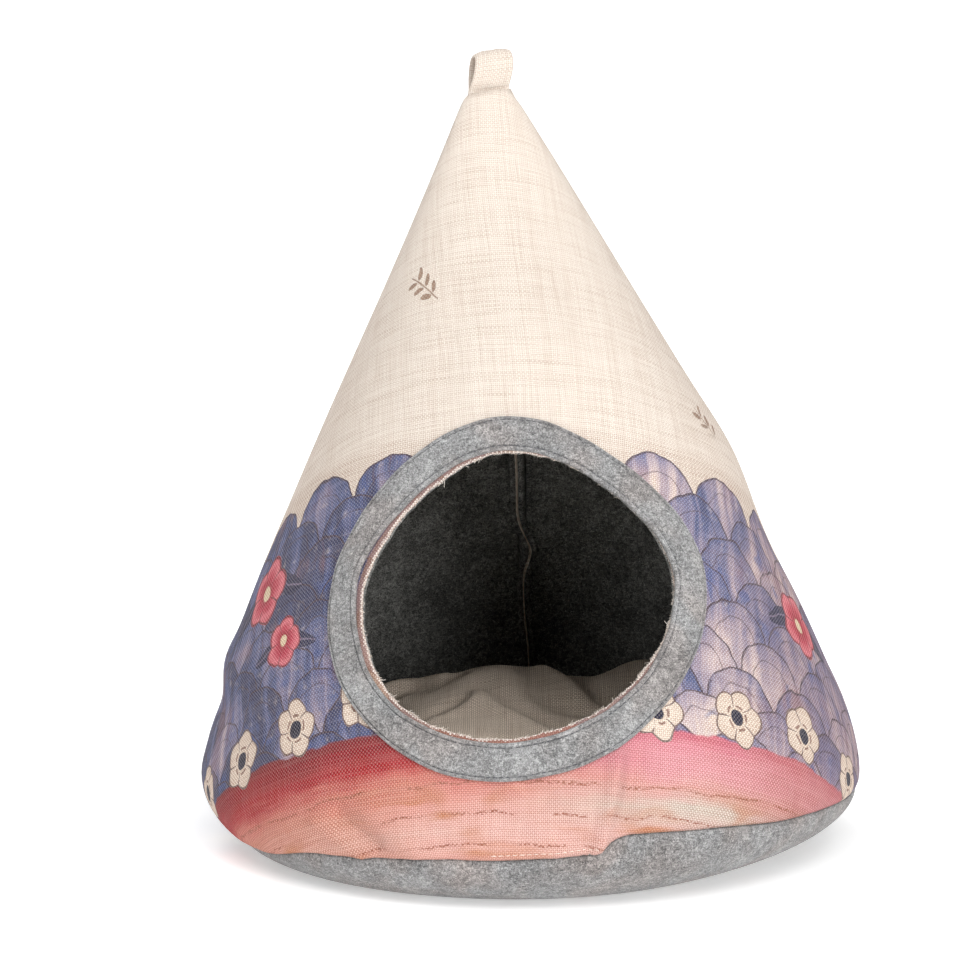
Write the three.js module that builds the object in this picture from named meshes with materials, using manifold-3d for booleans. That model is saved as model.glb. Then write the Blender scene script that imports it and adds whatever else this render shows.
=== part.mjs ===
// Cat teepee: a soft cone tent of printed linen over a felt lining, with a felt-bound round doorway,
// a dished felt base, a loose cushion and a hanging loop.
// Millimetres, +Z up, the doorway faces -Y, the origin lies on the floor under the middle of the whole.
import * as THREE from "three";
import { mergeVertices } from "three/addons/utils/BufferGeometryUtils.js";
import Module from "manifold-3d";

const manifold = await Module();
manifold.setup();

// Cloth thicknesses and the gaps between neighbouring layers
const COVER_THICK = 1.4;
const LINING_THICK = 2.6;
const RING_THICK = 3;
const BASE_THICK = 3.2;
const LAYER_GAP = 0.5;

// The body: the foot turns up from a flat round floor, then the wall rises to the tip
const WIDEST_RADIUS = 212;
const FOOT_ROUNDING = 45;
const FOOT_STEPS = 4;
const SECTIONS = [
  { height: 66, radius: 208.5, shift: 1 },
  { height: 92, radius: 201, shift: 0.5 },
  { height: 117, radius: 192, shift: -2 },
  { height: 170, radius: 170.5, shift: -4 },
  { height: 221, radius: 148.5, shift: -4.5 },
  { height: 272, radius: 123.5, shift: -7.5 },
  { height: 348, radius: 83.5, shift: -13.5 },
  { height: 425, radius: 43.5, shift: -20.5 },
  { height: 476, radius: 16.8, shift: -26 },
];

// The tip is pressed flat round the strap, which is turned a little about the upright axis
const TIP_START = 320;
const TIP_DEPTH_SHARE = 0.36;
const TIP_TURN = 10;

// The stiff doorway flattens the front of the cone
const FRONT_FLATTEN = 0.04;
const FRONT_SPREAD = 40;
const FRONT_MIDDLE = 190;
const FRONT_REACH = 110;

// Soft dents (inward) and swells (outward, depth below zero) in the wall: place, size and depth
const FOLDS = [
  { turn: 5, height: 58, spread: 8, reach: 30, depth: -2.5 },
  { turn: 20, height: 62, spread: 7, reach: 30, depth: 5 },
  { turn: -30, height: 40, spread: 8, reach: 18, depth: 3.5 },
  { turn: -88, height: 118, spread: 26, reach: 14, depth: -2.5 },
  { turn: -86, height: 92, spread: 24, reach: 14, depth: 2 },
  { turn: 86, height: 200, spread: 24, reach: 34, depth: 3.5 },
  { turn: 78, height: 258, spread: 26, reach: 28, depth: -2.5 },
  { turn: 132, height: 120, spread: 20, reach: 45, depth: 4 },
  { turn: -138, height: 150, spread: 18, reach: 60, depth: 3.5 },
];

// The folds fade out towards the floor between these heights
const FOLD_FADE_LOW = 4;
const FOLD_FADE_HIGH = 30;

// Where the foot is tucked under further, so the felt rises off the floor: place, size and length
const TUCKS = [
  { turn: 66, spread: 44, length: 46 },
  { turn: -78, spread: 26, length: 9 },
  { turn: 165, spread: 40, length: 12 },
];

// Height of the hem round the foot, from the back (-180) past the left, the front (0) and the right
const HEM = [
  { turn: -180, height: 26 },
  { turn: -125, height: 18 },
  { turn: -76, height: 8 },
  { turn: -58, height: 13 },
  { turn: -38, height: 25 },
  { turn: -10, height: 32 },
  { turn: 9, height: 36 },
  { turn: 17, height: 47 },
  { turn: 30, height: 46.5 },
  { turn: 50, height: 42.5 },
  { turn: 80, height: 39 },
  { turn: 135, height: 30 },
];

// The doorway, measured on the cloth: half its width and half its height at the ring's inner edge
const DOOR_TURN = -3.2;
const DOOR_HEIGHT = 184.8;
const DOOR_HALF_WIDTH = 103;
const DOOR_HALF_RISE = 90.4;
const DOOR_SLANT = 0.07;
const DOOR_NARROWING = 0.3;
const NARROWING_EASE = 1.5;
const DOOR_CORNERS = 3;
const DOOR_CORNER_TURN = -11;
const DOOR_CORNER_SWELL = 0.026;
const RING_BAND = 22;
const RING_BAND_DROP = 3.2;
const RAW_EDGE = 3;
const LINING_SETBACK = 0.8;
const PLUG_INWARD = 30;
const PLUG_OUTWARD = 60;

// The seam allowance standing inward up the back of the lining
const SEAM_THICK = 5;
const SEAM_DEPTH = 9;
const SEAM_FOOT = 60;
const SEAM_HEAD = 420;
const SEAM_SINK = 1.2;
const SEAM_SWAY = 2;
const SEAM_SWAY_BENDS = 3;
const SEAM_TAPER_ROWS = 2;

// The cushion: a filled round bag with lobes and creases on its crown
const CUSHION_FLOOR = 150;
const CUSHION_RADIUS = 184;
const CUSHION_SIDE = 40;
const CUSHION_CROWN = 72;
const CUSHION_LOBES = [
  { x: -22, y: 45, spread: 58, rise: 28 },
  { x: 100, y: 78, spread: 58, rise: 43 },
  { x: -96, y: 88, spread: 46, rise: 20 },
  { x: -60, y: -70, spread: 60, rise: 6 },
  { x: 40, y: 66, spread: 20, rise: -7 },
  { x: -66, y: 78, spread: 18, rise: -6 },
];

// The strap: a folded band whose doubled tongue goes down into the tip
const STRAP_WIDTH = 24.5;
const STRAP_THICK = 1.9;
const LOOP_DEPTH = 15.5;
const LOOP_FOOT_SHARE = 0.55;
const LOOP_FULLNESS = 1.25;
const LOOP_HEIGHT = 30;
const TONGUE_LENGTH = 24;
const LOOP_SLOPE = 7;

// How finely the curved faces are cut
const ROUND_STEPS = 56;
const WALL_STEPS = 15;
const WALL_EASE = 1.6;
const DOOR_STEPS = 56;
const FLOOR_STEPS = 2;
const LOOP_STEPS = 16;
const CUSHION_SIDE_STEPS = 5;
const CUSHION_CROWN_STEPS = 10;
const SEARCH_STEPS = 40;
const ANGLE_NUDGE = 0.01;

const clamp = THREE.MathUtils.clamp;
const lerp = THREE.MathUtils.lerp;
const smoothstep = THREE.MathUtils.smoothstep;
const radians = THREE.MathUtils.degToRad;

// Colours of the materials
const FINISHES = {
  linen: { color: 0xe3d2bd, roughness: 0.9, metalness: 0 },
  darkFelt: { color: 0x46464a, roughness: 0.95, metalness: 0 },
  greyFelt: { color: 0x9a9a9a, roughness: 0.95, metalness: 0 },
  cushionLinen: { color: 0xd6c6ab, roughness: 0.9, metalness: 0 },
};

// The outline of the body as one curve: x holds the radius, y the sideways shift, z the height
function outlineCurve() {
  const points = [];
  for (let step = 0; step <= FOOT_STEPS; step += 1) {
    const angle = (step / FOOT_STEPS) * (Math.PI / 2);
    const radius = WIDEST_RADIUS - FOOT_ROUNDING + FOOT_ROUNDING * Math.sin(angle);
    points.push(new THREE.Vector3(radius, 0, FOOT_ROUNDING * (1 - Math.cos(angle))));
  }
  for (const section of SECTIONS) {
    points.push(new THREE.Vector3(section.radius, section.shift, section.height));
  }
  return new THREE.CatmullRomCurve3(points, false, "centripetal");
}

const OUTLINE = outlineCurve();
const OUTLINE_LENGTH = OUTLINE.getLength();
const CONTACT_RADIUS = WIDEST_RADIUS - FOOT_ROUNDING;
const TIP_HEIGHT = SECTIONS[SECTIONS.length - 1].height;

// The share of the outline's length at which it reaches a height
function alongAt(height) {
  let low = 0;
  let high = 1;
  for (let step = 0; step < SEARCH_STEPS; step += 1) {
    const middle = (low + high) / 2;
    if (OUTLINE.getPointAt(middle).z < height) {
      low = middle;
    } else {
      high = middle;
    }
  }
  return (low + high) / 2;
}

// The angle between two turns, in degrees, the short way round
function turnBetween(turn, other) {
  const gap = turn - other;
  return gap - 360 * Math.round(gap / 360);
}

// How far the folds push the wall inward
function foldDepth(turn, height) {
  let depth = 0;
  for (const fold of FOLDS) {
    const across = turnBetween(turn, fold.turn) / fold.spread;
    const up = (height - fold.height) / fold.reach;
    depth += fold.depth * Math.exp(-across * across - up * up);
  }
  return depth * smoothstep(height, FOLD_FADE_LOW, FOLD_FADE_HIGH);
}

// How far the foot's floor edge is drawn in at a turn
function tuckLength(turn) {
  let length = 0;
  for (const tuck of TUCKS) {
    const across = turnBetween(turn, tuck.turn) / tuck.spread;
    length += tuck.length * Math.exp(-across * across);
  }
  return length;
}

// A point of the wall: turn in degrees from the front, share of the outline, depth under the outer face
function wallPoint(turn, along, inset) {
  const share = clamp(along, 0, 1);
  const place = OUTLINE.getPointAt(share);
  const course = OUTLINE.getTangentAt(share);
  const across = Math.hypot(course.x, course.z);
  const depth = inset + foldDepth(turn, place.z);
  const frontTurn = turnBetween(turn, 0) / FRONT_SPREAD;
  const frontRise = (place.z - FRONT_MIDDLE) / FRONT_REACH;
  const flatten = FRONT_FLATTEN * Math.exp(-frontTurn * frontTurn - frontRise * frontRise);
  const underfoot = place.z < FOOT_ROUNDING ? (WIDEST_RADIUS - place.x) / FOOT_ROUNDING : 0;
  const radius = place.x * (1 - flatten) - tuckLength(turn) * underfoot;
  const inward = (depth * course.z) / across;
  const height = place.z + (depth * course.x) / across;
  const tipTurn = radians(TIP_TURN);
  const angle = radians(turn) - tipTurn;
  const squeeze = lerp(1, TIP_DEPTH_SHARE, smoothstep(place.z, TIP_START, TIP_HEIGHT));
  const facing = new THREE.Vector2(squeeze * Math.sin(angle), -Math.cos(angle)).normalize();
  const wide = radius * Math.sin(angle) - inward * facing.x;
  const deep = -radius * squeeze * Math.cos(angle) - inward * facing.y;
  const x = place.y + wide * Math.cos(tipTurn) - deep * Math.sin(tipTurn);
  const y = wide * Math.sin(tipTurn) + deep * Math.cos(tipTurn);
  return new THREE.Vector3(x, y, height);
}

// The hem's height at a turn, eased between the rows of its table
function hemHeight(turn) {
  const place = turnBetween(turn, 0);
  for (let row = 0; row < HEM.length; row += 1) {
    const from = HEM[row];
    const to = HEM[(row + 1) % HEM.length];
    const span = row + 1 < HEM.length ? to.turn - from.turn : 180 - from.turn;
    const share = (place - from.turn) / span;
    if (share >= 0 && share <= 1) {
      return lerp(from.height, to.height, smoothstep(share, 0, 1));
    }
  }
  return HEM[0].height;
}

// A closed solid from rings of points, each ring holding the same number; the ends close on a middle
// point, or the last ring joins the first when the tube runs back on itself
function solidFromRings(rings, joined) {
  const count = rings[0].length;
  const points = rings.flat();
  const triangles = [];
  const last = joined ? rings.length : rings.length - 1;
  for (let ring = 0; ring < last; ring += 1) {
    const here = ring * count;
    const next = ((ring + 1) % rings.length) * count;
    for (let step = 0; step < count; step += 1) {
      const after = (step + 1) % count;
      const corners = [here + step, here + after, next + after, next + step];
      const [a, b, c, d] = shorterFirst(corners, points);
      triangles.push(a, b, c);
      triangles.push(a, c, d);
    }
  }
  if (!joined) {
    const firstMiddle = points.length;
    points.push(middleOf(rings[0]));
    points.push(middleOf(rings[rings.length - 1]));
    const lastStart = (rings.length - 1) * count;
    for (let step = 0; step < count; step += 1) {
      const after = (step + 1) % count;
      triangles.push(firstMiddle, after, step);
      triangles.push(firstMiddle + 1, lastStart + step, lastStart + after);
    }
  }
  const geometry = new THREE.BufferGeometry().setFromPoints(points);
  geometry.setIndex(triangles);
  return geometry;
}

// The corners of a four-sided face, turned so that its shorter diagonal starts from the first
function shorterFirst(corners, points) {
  const [a, b, c, d] = corners;
  const keep = points[a].distanceTo(points[c]) <= points[b].distanceTo(points[d]);
  return keep ? corners : [b, c, d, a];
}

// The mean of a ring's points
function middleOf(ring) {
  const middle = new THREE.Vector3();
  for (const point of ring) {
    middle.add(point);
  }
  return middle.divideScalar(ring.length);
}

// A solid that can be joined or cut, from a geometry
function toSolid(geometry) {
  const plain = mergeVertices(geometry, 1e-4);
  const mesh = new manifold.Mesh({
    numProp: 3,
    vertProperties: new Float32Array(plain.attributes.position.array),
    triVerts: new Uint32Array(plain.index.array),
  });
  return new manifold.Manifold(mesh);
}

// A geometry, from a joined or cut solid
function toGeometry(solid) {
  const mesh = solid.getMesh();
  const geometry = new THREE.BufferGeometry();
  geometry.setAttribute("position", new THREE.BufferAttribute(new Float32Array(mesh.vertProperties), 3));
  geometry.setIndex(new THREE.BufferAttribute(new Uint32Array(mesh.triVerts), 1));
  return geometry;
}

// One ring of wall points at a depth; the share of the outline may change with the turn
function wallRing(alongOf, inset) {
  const ring = [];
  for (let step = 0; step < ROUND_STEPS; step += 1) {
    const turn = (step / ROUND_STEPS) * 360 - 180;
    ring.push(wallPoint(turn, alongOf(turn), inset));
  }
  return ring;
}

// A layer of the wall from just above the hem to one of the rows below the tip
function wallLayer(headRow, outerInset, thickness) {
  const foot = (turn) => alongAt(hemHeight(turn)) + (0.5 * LAYER_GAP) / OUTLINE_LENGTH;
  const outer = [];
  const inner = [];
  for (let row = 0; row <= headRow; row += 1) {
    const share = Math.pow(row / WALL_STEPS, WALL_EASE);
    const alongOf = (turn) => lerp(foot(turn), 1, share);
    outer.push(wallRing(alongOf, outerInset));
    inner.push(wallRing(alongOf, outerInset + thickness));
  }
  return solidFromRings([...outer, ...inner.reverse()], true);
}

// The doorway's edge on the flat cloth: sideways and up from its middle
function doorOutline(angle) {
  const narrow = 1 - DOOR_NARROWING * Math.pow(Math.max(0, Math.sin(angle)), NARROWING_EASE);
  const up = DOOR_HALF_RISE * Math.sin(angle);
  const swell = 1 + DOOR_CORNER_SWELL * Math.cos(DOOR_CORNERS * (angle - radians(DOOR_CORNER_TURN)));
  const sideways = DOOR_HALF_WIDTH * Math.cos(angle) * narrow + DOOR_SLANT * up;
  return new THREE.Vector2(sideways, up).multiplyScalar(swell);
}

// The width of the felt band, which is cut narrower above than below
function bandWidth(angle) {
  return RING_BAND - RING_BAND_DROP * Math.sin(angle);
}

// A point of the doorway's edge on the wall, set outward on the cloth by a margin
function doorPoint(angle, margin, inset) {
  const course = doorOutline(angle + ANGLE_NUDGE).sub(doorOutline(angle - ANGLE_NUDGE)).normalize();
  const place = doorOutline(angle).add(new THREE.Vector2(course.y, -course.x).multiplyScalar(margin));
  const along = alongAt(DOOR_HEIGHT) + place.y / OUTLINE_LENGTH;
  const sideways = place.x / OUTLINE.getPointAt(along).x;
  return wallPoint(DOOR_TURN + THREE.MathUtils.radToDeg(sideways), along, inset);
}

// A ring of points round the doorway; the margin may change with the angle
function doorRing(marginOf, inset) {
  const ring = [];
  for (let step = 0; step < DOOR_STEPS; step += 1) {
    const angle = (step / DOOR_STEPS) * 2 * Math.PI;
    ring.push(doorPoint(angle, marginOf(angle), inset));
  }
  return ring;
}

// The plug that cuts the doorway through a layer
function doorPlug(margin) {
  const even = () => margin;
  return toSolid(solidFromRings([doorRing(even, PLUG_INWARD), doorRing(even, -PLUG_OUTWARD)], false));
}

// The seam allowance up the back, a fin that follows the lining's inner face
function seamFin(innerInset) {
  const rows = WALL_STEPS;
  const rings = [];
  for (let row = 0; row <= rows; row += 1) {
    const along = alongAt(lerp(SEAM_FOOT, SEAM_HEAD, row / rows));
    const taper = smoothstep(row, 0, SEAM_TAPER_ROWS) * smoothstep(rows - row, 0, SEAM_TAPER_ROWS);
    const root = wallPoint(180, along, innerInset - SEAM_SINK);
    const edge = wallPoint(180, along, innerInset + lerp(1, SEAM_DEPTH, taper));
    edge.x += SEAM_SWAY * Math.sin((row / rows) * SEAM_SWAY_BENDS * Math.PI) * taper;
    const side = new THREE.Vector3(SEAM_THICK / 2, 0, 0);
    const rootPair = [root.clone().add(side), root.clone().sub(side)];
    const edgePair = [edge.clone().sub(side), edge.clone().add(side)];
    rings.push([...rootPair, ...edgePair]);
  }
  return toSolid(solidFromRings(rings, false));
}

// The printed linen, whose raw edge shows inside the ring
function coverGeometry() {
  const layer = toSolid(wallLayer(WALL_STEPS, 0, COVER_THICK));
  return toGeometry(layer.subtract(doorPlug(-RAW_EDGE)));
}

// The dark felt behind the linen, with its seam
function liningGeometry() {
  const outerInset = COVER_THICK + LAYER_GAP;
  const layer = toSolid(wallLayer(WALL_STEPS - 1, outerInset, LINING_THICK));
  const sewn = layer.add(seamFin(outerInset + LINING_THICK));
  return toGeometry(sewn.subtract(doorPlug(LINING_SETBACK - RAW_EDGE)));
}

// The felt band round the doorway, lying on the linen
function ringGeometry() {
  const under = -LAYER_GAP;
  const over = -LAYER_GAP - RING_THICK;
  const inner = () => 0;
  const middle = (angle) => bandWidth(angle) / 2;
  const rings = [
    doorRing(inner, over),
    doorRing(inner, under),
    doorRing(middle, under),
    doorRing(bandWidth, under),
    doorRing(bandWidth, over),
    doorRing(middle, over),
  ];
  return solidFromRings(rings, true);
}

// The felt floor: a flat disc that turns up round the foot to just under the hem
function baseGeometry() {
  const rim = (turn) => alongAt(hemHeight(turn)) - (0.5 * LAYER_GAP) / OUTLINE_LENGTH;
  const outer = [];
  const inner = [];
  for (let step = 1; step <= FLOOR_STEPS; step += 1) {
    const share = step / FLOOR_STEPS;
    outer.push(floorRing(share, 0));
    inner.push(floorRing(share, BASE_THICK));
  }
  const rows = 2 * FOOT_STEPS;
  for (let row = 1; row <= rows; row += 1) {
    const alongOf = (turn) => (rim(turn) * row) / rows;
    outer.push(wallRing(alongOf, 0));
    inner.push(wallRing(alongOf, BASE_THICK));
  }
  return solidFromRings([...outer, ...inner.reverse()], false);
}

// A ring of the flat floor at a share of its outline
function floorRing(share, height) {
  const ring = [];
  for (let step = 0; step < ROUND_STEPS; step += 1) {
    const turn = (step / ROUND_STEPS) * 360 - 180;
    const radius = share * (CONTACT_RADIUS - tuckLength(turn));
    const angle = radians(turn);
    ring.push(new THREE.Vector3(radius * Math.sin(angle), -radius * Math.cos(angle), height));
  }
  return ring;
}

// The cushion's crown height above a point of its plan
function crownHeight(x, y) {
  let rise = CUSHION_CROWN;
  for (const lobe of CUSHION_LOBES) {
    const away = Math.hypot(x - lobe.x, y - lobe.y) / lobe.spread;
    rise += lobe.rise * Math.exp(-away * away);
  }
  return rise;
}

// The bag lies in the dish, so its underside is drawn in where the foot is tucked
function cushionGeometry() {
  const floor = BASE_THICK + LAYER_GAP;
  const rings = [];
  const ringAt = (radiusOf, heightOf) => {
    const ring = [];
    for (let step = 0; step < ROUND_STEPS; step += 1) {
      const turn = (step / ROUND_STEPS) * 360 - 180;
      const x = radiusOf(turn) * Math.sin(radians(turn));
      const y = -radiusOf(turn) * Math.cos(radians(turn));
      ring.push(new THREE.Vector3(x, y, heightOf(x, y)));
    }
    rings.push(ring);
  };
  for (let step = 0; step <= CUSHION_SIDE_STEPS; step += 1) {
    const angle = (step / CUSHION_SIDE_STEPS) * (Math.PI / 2);
    const under = (turn) => CUSHION_FLOOR - tuckLength(turn);
    const height = lerp(CUSHION_SIDE, floor, Math.cos(angle));
    ringAt((turn) => lerp(under(turn), CUSHION_RADIUS, Math.sin(angle)), () => height);
  }
  for (let step = 1; step < CUSHION_CROWN_STEPS; step += 1) {
    const share = 1 - step / CUSHION_CROWN_STEPS;
    const swell = Math.sqrt(1 - share * share);
    ringAt(() => CUSHION_RADIUS * share, (x, y) => lerp(CUSHION_SIDE, crownHeight(x, y), swell));
  }
  return solidFromRings(rings, false);
}

// The outline of an upright drop, all the way round from its foot
function dropOutline(depth, foot, head) {
  const points = [];
  for (let step = 0; step <= LOOP_STEPS; step += 1) {
    const angle = (step / LOOP_STEPS) * 2 * Math.PI;
    const rise = (1 - Math.cos(angle)) / 2;
    const swell = Math.sin(angle) * lerp(LOOP_FOOT_SHARE, 1, rise) * LOOP_FULLNESS;
    points.push(new THREE.Vector2((depth / 2) * swell, lerp(foot, head, rise)));
  }
  return points;
}

// The strap seen along its width: a doubled tongue below and a drop-shaped loop above
function strapGeometry() {
  const outer = dropOutline(LOOP_DEPTH, 0, LOOP_HEIGHT);
  const tongueLeft = new THREE.Vector2(-STRAP_THICK, -TONGUE_LENGTH);
  const tongueRight = new THREE.Vector2(STRAP_THICK, -TONGUE_LENGTH);
  const aboveNeck = outer.filter((point) => Math.abs(point.x) > STRAP_THICK || point.y > LOOP_HEIGHT / 2);
  const shape = new THREE.Shape([tongueLeft, tongueRight, ...aboveNeck]);
  const inside = dropOutline(LOOP_DEPTH - 2 * STRAP_THICK, 2 * STRAP_THICK, LOOP_HEIGHT - STRAP_THICK);
  shape.holes.push(new THREE.Path(inside));
  const geometry = new THREE.ExtrudeGeometry(shape, { depth: STRAP_WIDTH, bevelEnabled: false, steps: 1 });
  geometry.translate(0, 0, -STRAP_WIDTH / 2);
  geometry.rotateY(Math.PI / 2);
  geometry.rotateX(Math.PI / 2);
  const sloped = new THREE.Matrix4().makeShear(0, Math.tan(radians(LOOP_SLOPE)), 0, 0, 0, 0);
  return geometry.applyMatrix4(sloped);
}

const group = new THREE.Group();
group.name = "cat_teepee";

// Adds a named mesh in one of the finishes
function addPiece(name, geometry, finish) {
  const plain = mergeVertices(geometry.deleteAttribute("normal").deleteAttribute("uv"), 1e-3);
  plain.computeVertexNormals();
  const mesh = new THREE.Mesh(plain, new THREE.MeshStandardMaterial(FINISHES[finish]));
  mesh.name = name;
  group.add(mesh);
  return mesh;
}

addPiece("cover", coverGeometry(), "linen");
addPiece("lining", liningGeometry(), "darkFelt");
addPiece("entry_ring", ringGeometry(), "greyFelt");
addPiece("base", baseGeometry(), "greyFelt");
addPiece("cushion", cushionGeometry(), "cushionLinen");
const strap = addPiece("hang_loop", strapGeometry(), "linen");
strap.position.set(SECTIONS[SECTIONS.length - 1].shift, 0, TIP_HEIGHT);
strap.rotation.set(0, 0, radians(TIP_TURN));

// Bring the origin to the floor under the middle of the overall box
group.updateMatrixWorld(true);
const overall = new THREE.Box3().setFromObject(group, true);
const middle = overall.getCenter(new THREE.Vector3());
for (const piece of group.children) {
  piece.position.x -= middle.x;
  piece.position.y -= middle.y;
  piece.position.z -= overall.min.z;
}

export default group;
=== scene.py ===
"""Dresses the cat teepee: printed linen cone, felt lining, doorway band, base, cushion and strap.

Sizes are in millimetres and degrees until a mesh is made; turn 0 is the front and grows to the right.
"""

from __future__ import annotations

import logging
import math
from dataclasses import dataclass, field
from enum import Enum
from typing import Sequence

import bpy
import numpy as np
from bpy.types import Material, NodeSocket, Object
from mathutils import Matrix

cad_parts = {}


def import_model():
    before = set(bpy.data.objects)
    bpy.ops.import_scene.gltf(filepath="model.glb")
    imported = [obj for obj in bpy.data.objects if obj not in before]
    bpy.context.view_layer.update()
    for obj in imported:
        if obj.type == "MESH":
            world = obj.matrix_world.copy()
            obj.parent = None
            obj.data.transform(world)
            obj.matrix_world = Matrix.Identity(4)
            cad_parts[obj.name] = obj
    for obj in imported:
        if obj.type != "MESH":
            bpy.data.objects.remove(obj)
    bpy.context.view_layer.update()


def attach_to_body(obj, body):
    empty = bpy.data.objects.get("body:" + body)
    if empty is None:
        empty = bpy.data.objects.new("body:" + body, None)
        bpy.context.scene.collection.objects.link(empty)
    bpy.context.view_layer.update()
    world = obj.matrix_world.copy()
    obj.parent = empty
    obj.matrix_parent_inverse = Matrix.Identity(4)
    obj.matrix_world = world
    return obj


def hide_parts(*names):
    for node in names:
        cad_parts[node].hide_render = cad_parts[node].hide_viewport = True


LOG = logging.getLogger("cat_teepee")
MM = 0.001
BODY = "root"
FLAT_MAP = "Flat"
# Point attribute of nearness to the raw edge; it sets a painted brown shade and the cream fray there.
SHADE_FRAY_MAP = "edge_shade_fray"
Array = np.ndarray
Triple = tuple[float, float, float]
Colour = tuple[int, int, int]
Stops = tuple[tuple[float, Colour], ...]


class ThreadGuide(Enum):
    """What the threads of a woven finish follow."""

    FLAT_CUT = "flat cut"
    PLAN = "plan"


class Kind(Enum):
    """Kinds of felt by the way they are used."""

    OUTER = "outer"
    INNER = "inner"


# Small helpers


def smooth(low: float, high: float, value: Array) -> Array:
    """Eases numbers from 0 at the low limit to 1 at the high one."""
    share = np.clip((np.asarray(value, float) - low) / (high - low), 0.0, 1.0)
    return share * share * (3.0 - 2.0 * share)


def bell(away: Array) -> Array:
    """Gives the height of a soft bump, 1 in its middle, at shares of its reach away from there."""
    return np.exp(-(np.asarray(away, float) ** 2))


def turn_between(turn: Array, other: float) -> Array:
    """Gives the angles to turns from another one, in degrees, the short way round."""
    gap = np.asarray(turn, float) - other
    return gap - 360.0 * np.round(gap / 360.0)


def even_turns(count: int) -> Array:
    """Gives evenly spaced turns all round, from the back, in degrees."""
    return np.arange(count) / count * 360.0 - 180.0


def even_angles(count: int) -> Array:
    """Gives evenly spaced angles of a full circle, in radians."""
    return np.arange(count) / count * 2 * math.pi


def unit(vectors: Array) -> Array:
    """Brings vectors, one to a row, to a length of 1."""
    return vectors / np.linalg.norm(vectors, axis=-1, keepdims=True)


def ripple(angle: Array, waves: Sequence[Triple]) -> Array:
    """Adds up waves, each with its size, its pace and its phase."""
    return sum(size * np.sin(angle * pace + phase) for size, pace, phase in waves)


def run_lengths(line: Array) -> Array:
    """Gives how far along a line each of its points lies."""
    return np.concatenate([[0.0], np.cumsum(np.linalg.norm(np.diff(line, axis=0), axis=1))])


def linear(red: int, green: int, blue: int) -> tuple[float, float, float, float]:
    """Turns a screen colour into the linear colour that a shader takes.

    Args:
        red: Red from 0 to 255.
        green: Green from 0 to 255.
        blue: Blue from 0 to 255.

    Returns:
        Linear red, green, blue and a full alpha.
    """
    parts = []
    for part in (red, green, blue):
        share = part / 255.0
        parts.append(share / 12.92 if share <= 0.04045 else ((share + 0.055) / 1.055) ** 2.4)
    return (parts[0], parts[1], parts[2], 1.0)


def add_object(name: str, data: bpy.types.ID) -> Object:
    """Adds an object to the scene.

    Args:
        name: The object's name.
        data: Its mesh, light or camera.

    Returns:
        The linked object.
    """
    obj = bpy.data.objects.new(name, data)
    bpy.context.scene.collection.objects.link(obj)
    return obj


def shade_smooth(mesh: bpy.types.Mesh) -> None:
    """Shades all faces of a mesh smoothly."""
    mesh.polygons.foreach_set("use_smooth", np.ones(len(mesh.polygons), bool))


def mesh_object(
    name: str, points: Array, faces: Sequence[Sequence[int]], finish: Material, uv: Array | None = None
) -> Object:
    """Makes a smooth-shaded mesh object at the origin.

    Args:
        name: The object's name.
        points: Its points in millimetres.
        faces: Corner numbers of each face.
        finish: Its material.
        uv: A place in metres for each face corner, in the order of the faces.

    Returns:
        The linked object.
    """
    mesh = bpy.data.meshes.new(name)
    mesh.from_pydata((np.asarray(points, float) * MM).tolist(), [], [list(map(int, face)) for face in faces])
    if uv is not None:
        layer = mesh.uv_layers.new(name=FLAT_MAP)
        layer.data.foreach_set("uv", np.asarray(uv, np.float32).ravel())
    shade_smooth(mesh)
    mesh.materials.append(finish)
    mesh.update()
    return add_object(name, mesh)


def grid_faces(columns: int, rows: int, closed: bool, joined: bool = False) -> Array:
    """Numbers the four-sided faces of a grid of points stored row after row.

    Args:
        columns: Points in a row.
        rows: Rows of points.
        closed: Whether each row runs back to its start.
        joined: Whether the last row joins the first.

    Returns:
        An array of four corner numbers a face.
    """
    across = np.arange(columns if closed else columns - 1)
    upward = np.arange(rows if joined else rows - 1)
    column, row = np.meshgrid(across, upward)
    right = (column + 1) % columns
    above = (row + 1) % rows
    low, high = row * columns, above * columns
    corners = [low + column, low + right, high + right, high + column]
    return np.stack([corner.ravel() for corner in corners], axis=1)


def tube_faces(columns: int, rows: int) -> list[list[int]]:
    """Numbers the faces of a tube of rings, both its ends closed.

    Args:
        columns: Points in a ring.
        rows: Rings.

    Returns:
        Corner numbers of each face, the two ends last.
    """
    last = (rows - 1) * columns
    ends = [list(range(columns))[::-1], list(range(last, last + columns))]
    return grid_faces(columns, rows, closed=True).tolist() + ends


def number_anew(faces: Array) -> tuple[Array, Array]:
    """Gives the points that faces use, and the faces with only those points counted."""
    used, corners = np.unique(faces, return_inverse=True)
    return used, corners.reshape(faces.shape)


def thicken(obj: Object, thickness: float) -> None:
    """Gives a sheet its thickness, inward from its outer face.

    Args:
        obj: The sheet.
        thickness: Its thickness in millimetres.
    """
    wall = obj.modifiers.new("Thickness", "SOLIDIFY")
    wall.thickness = thickness * MM
    wall.offset = -1.0
    wall.use_even_offset = True


# The shape that all the layers share


@dataclass(frozen=True)
class Fold:
    """A soft dent in the wall, or a swell where its depth is below zero."""

    turn: float
    height: float
    spread: float
    reach: float
    depth: float


@dataclass(frozen=True)
class Crease:
    """A soft trough along a line on the wall, or a ridge where its depth is below zero."""

    start: tuple[float, float]
    end: tuple[float, float]
    width: float
    depth: float


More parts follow.
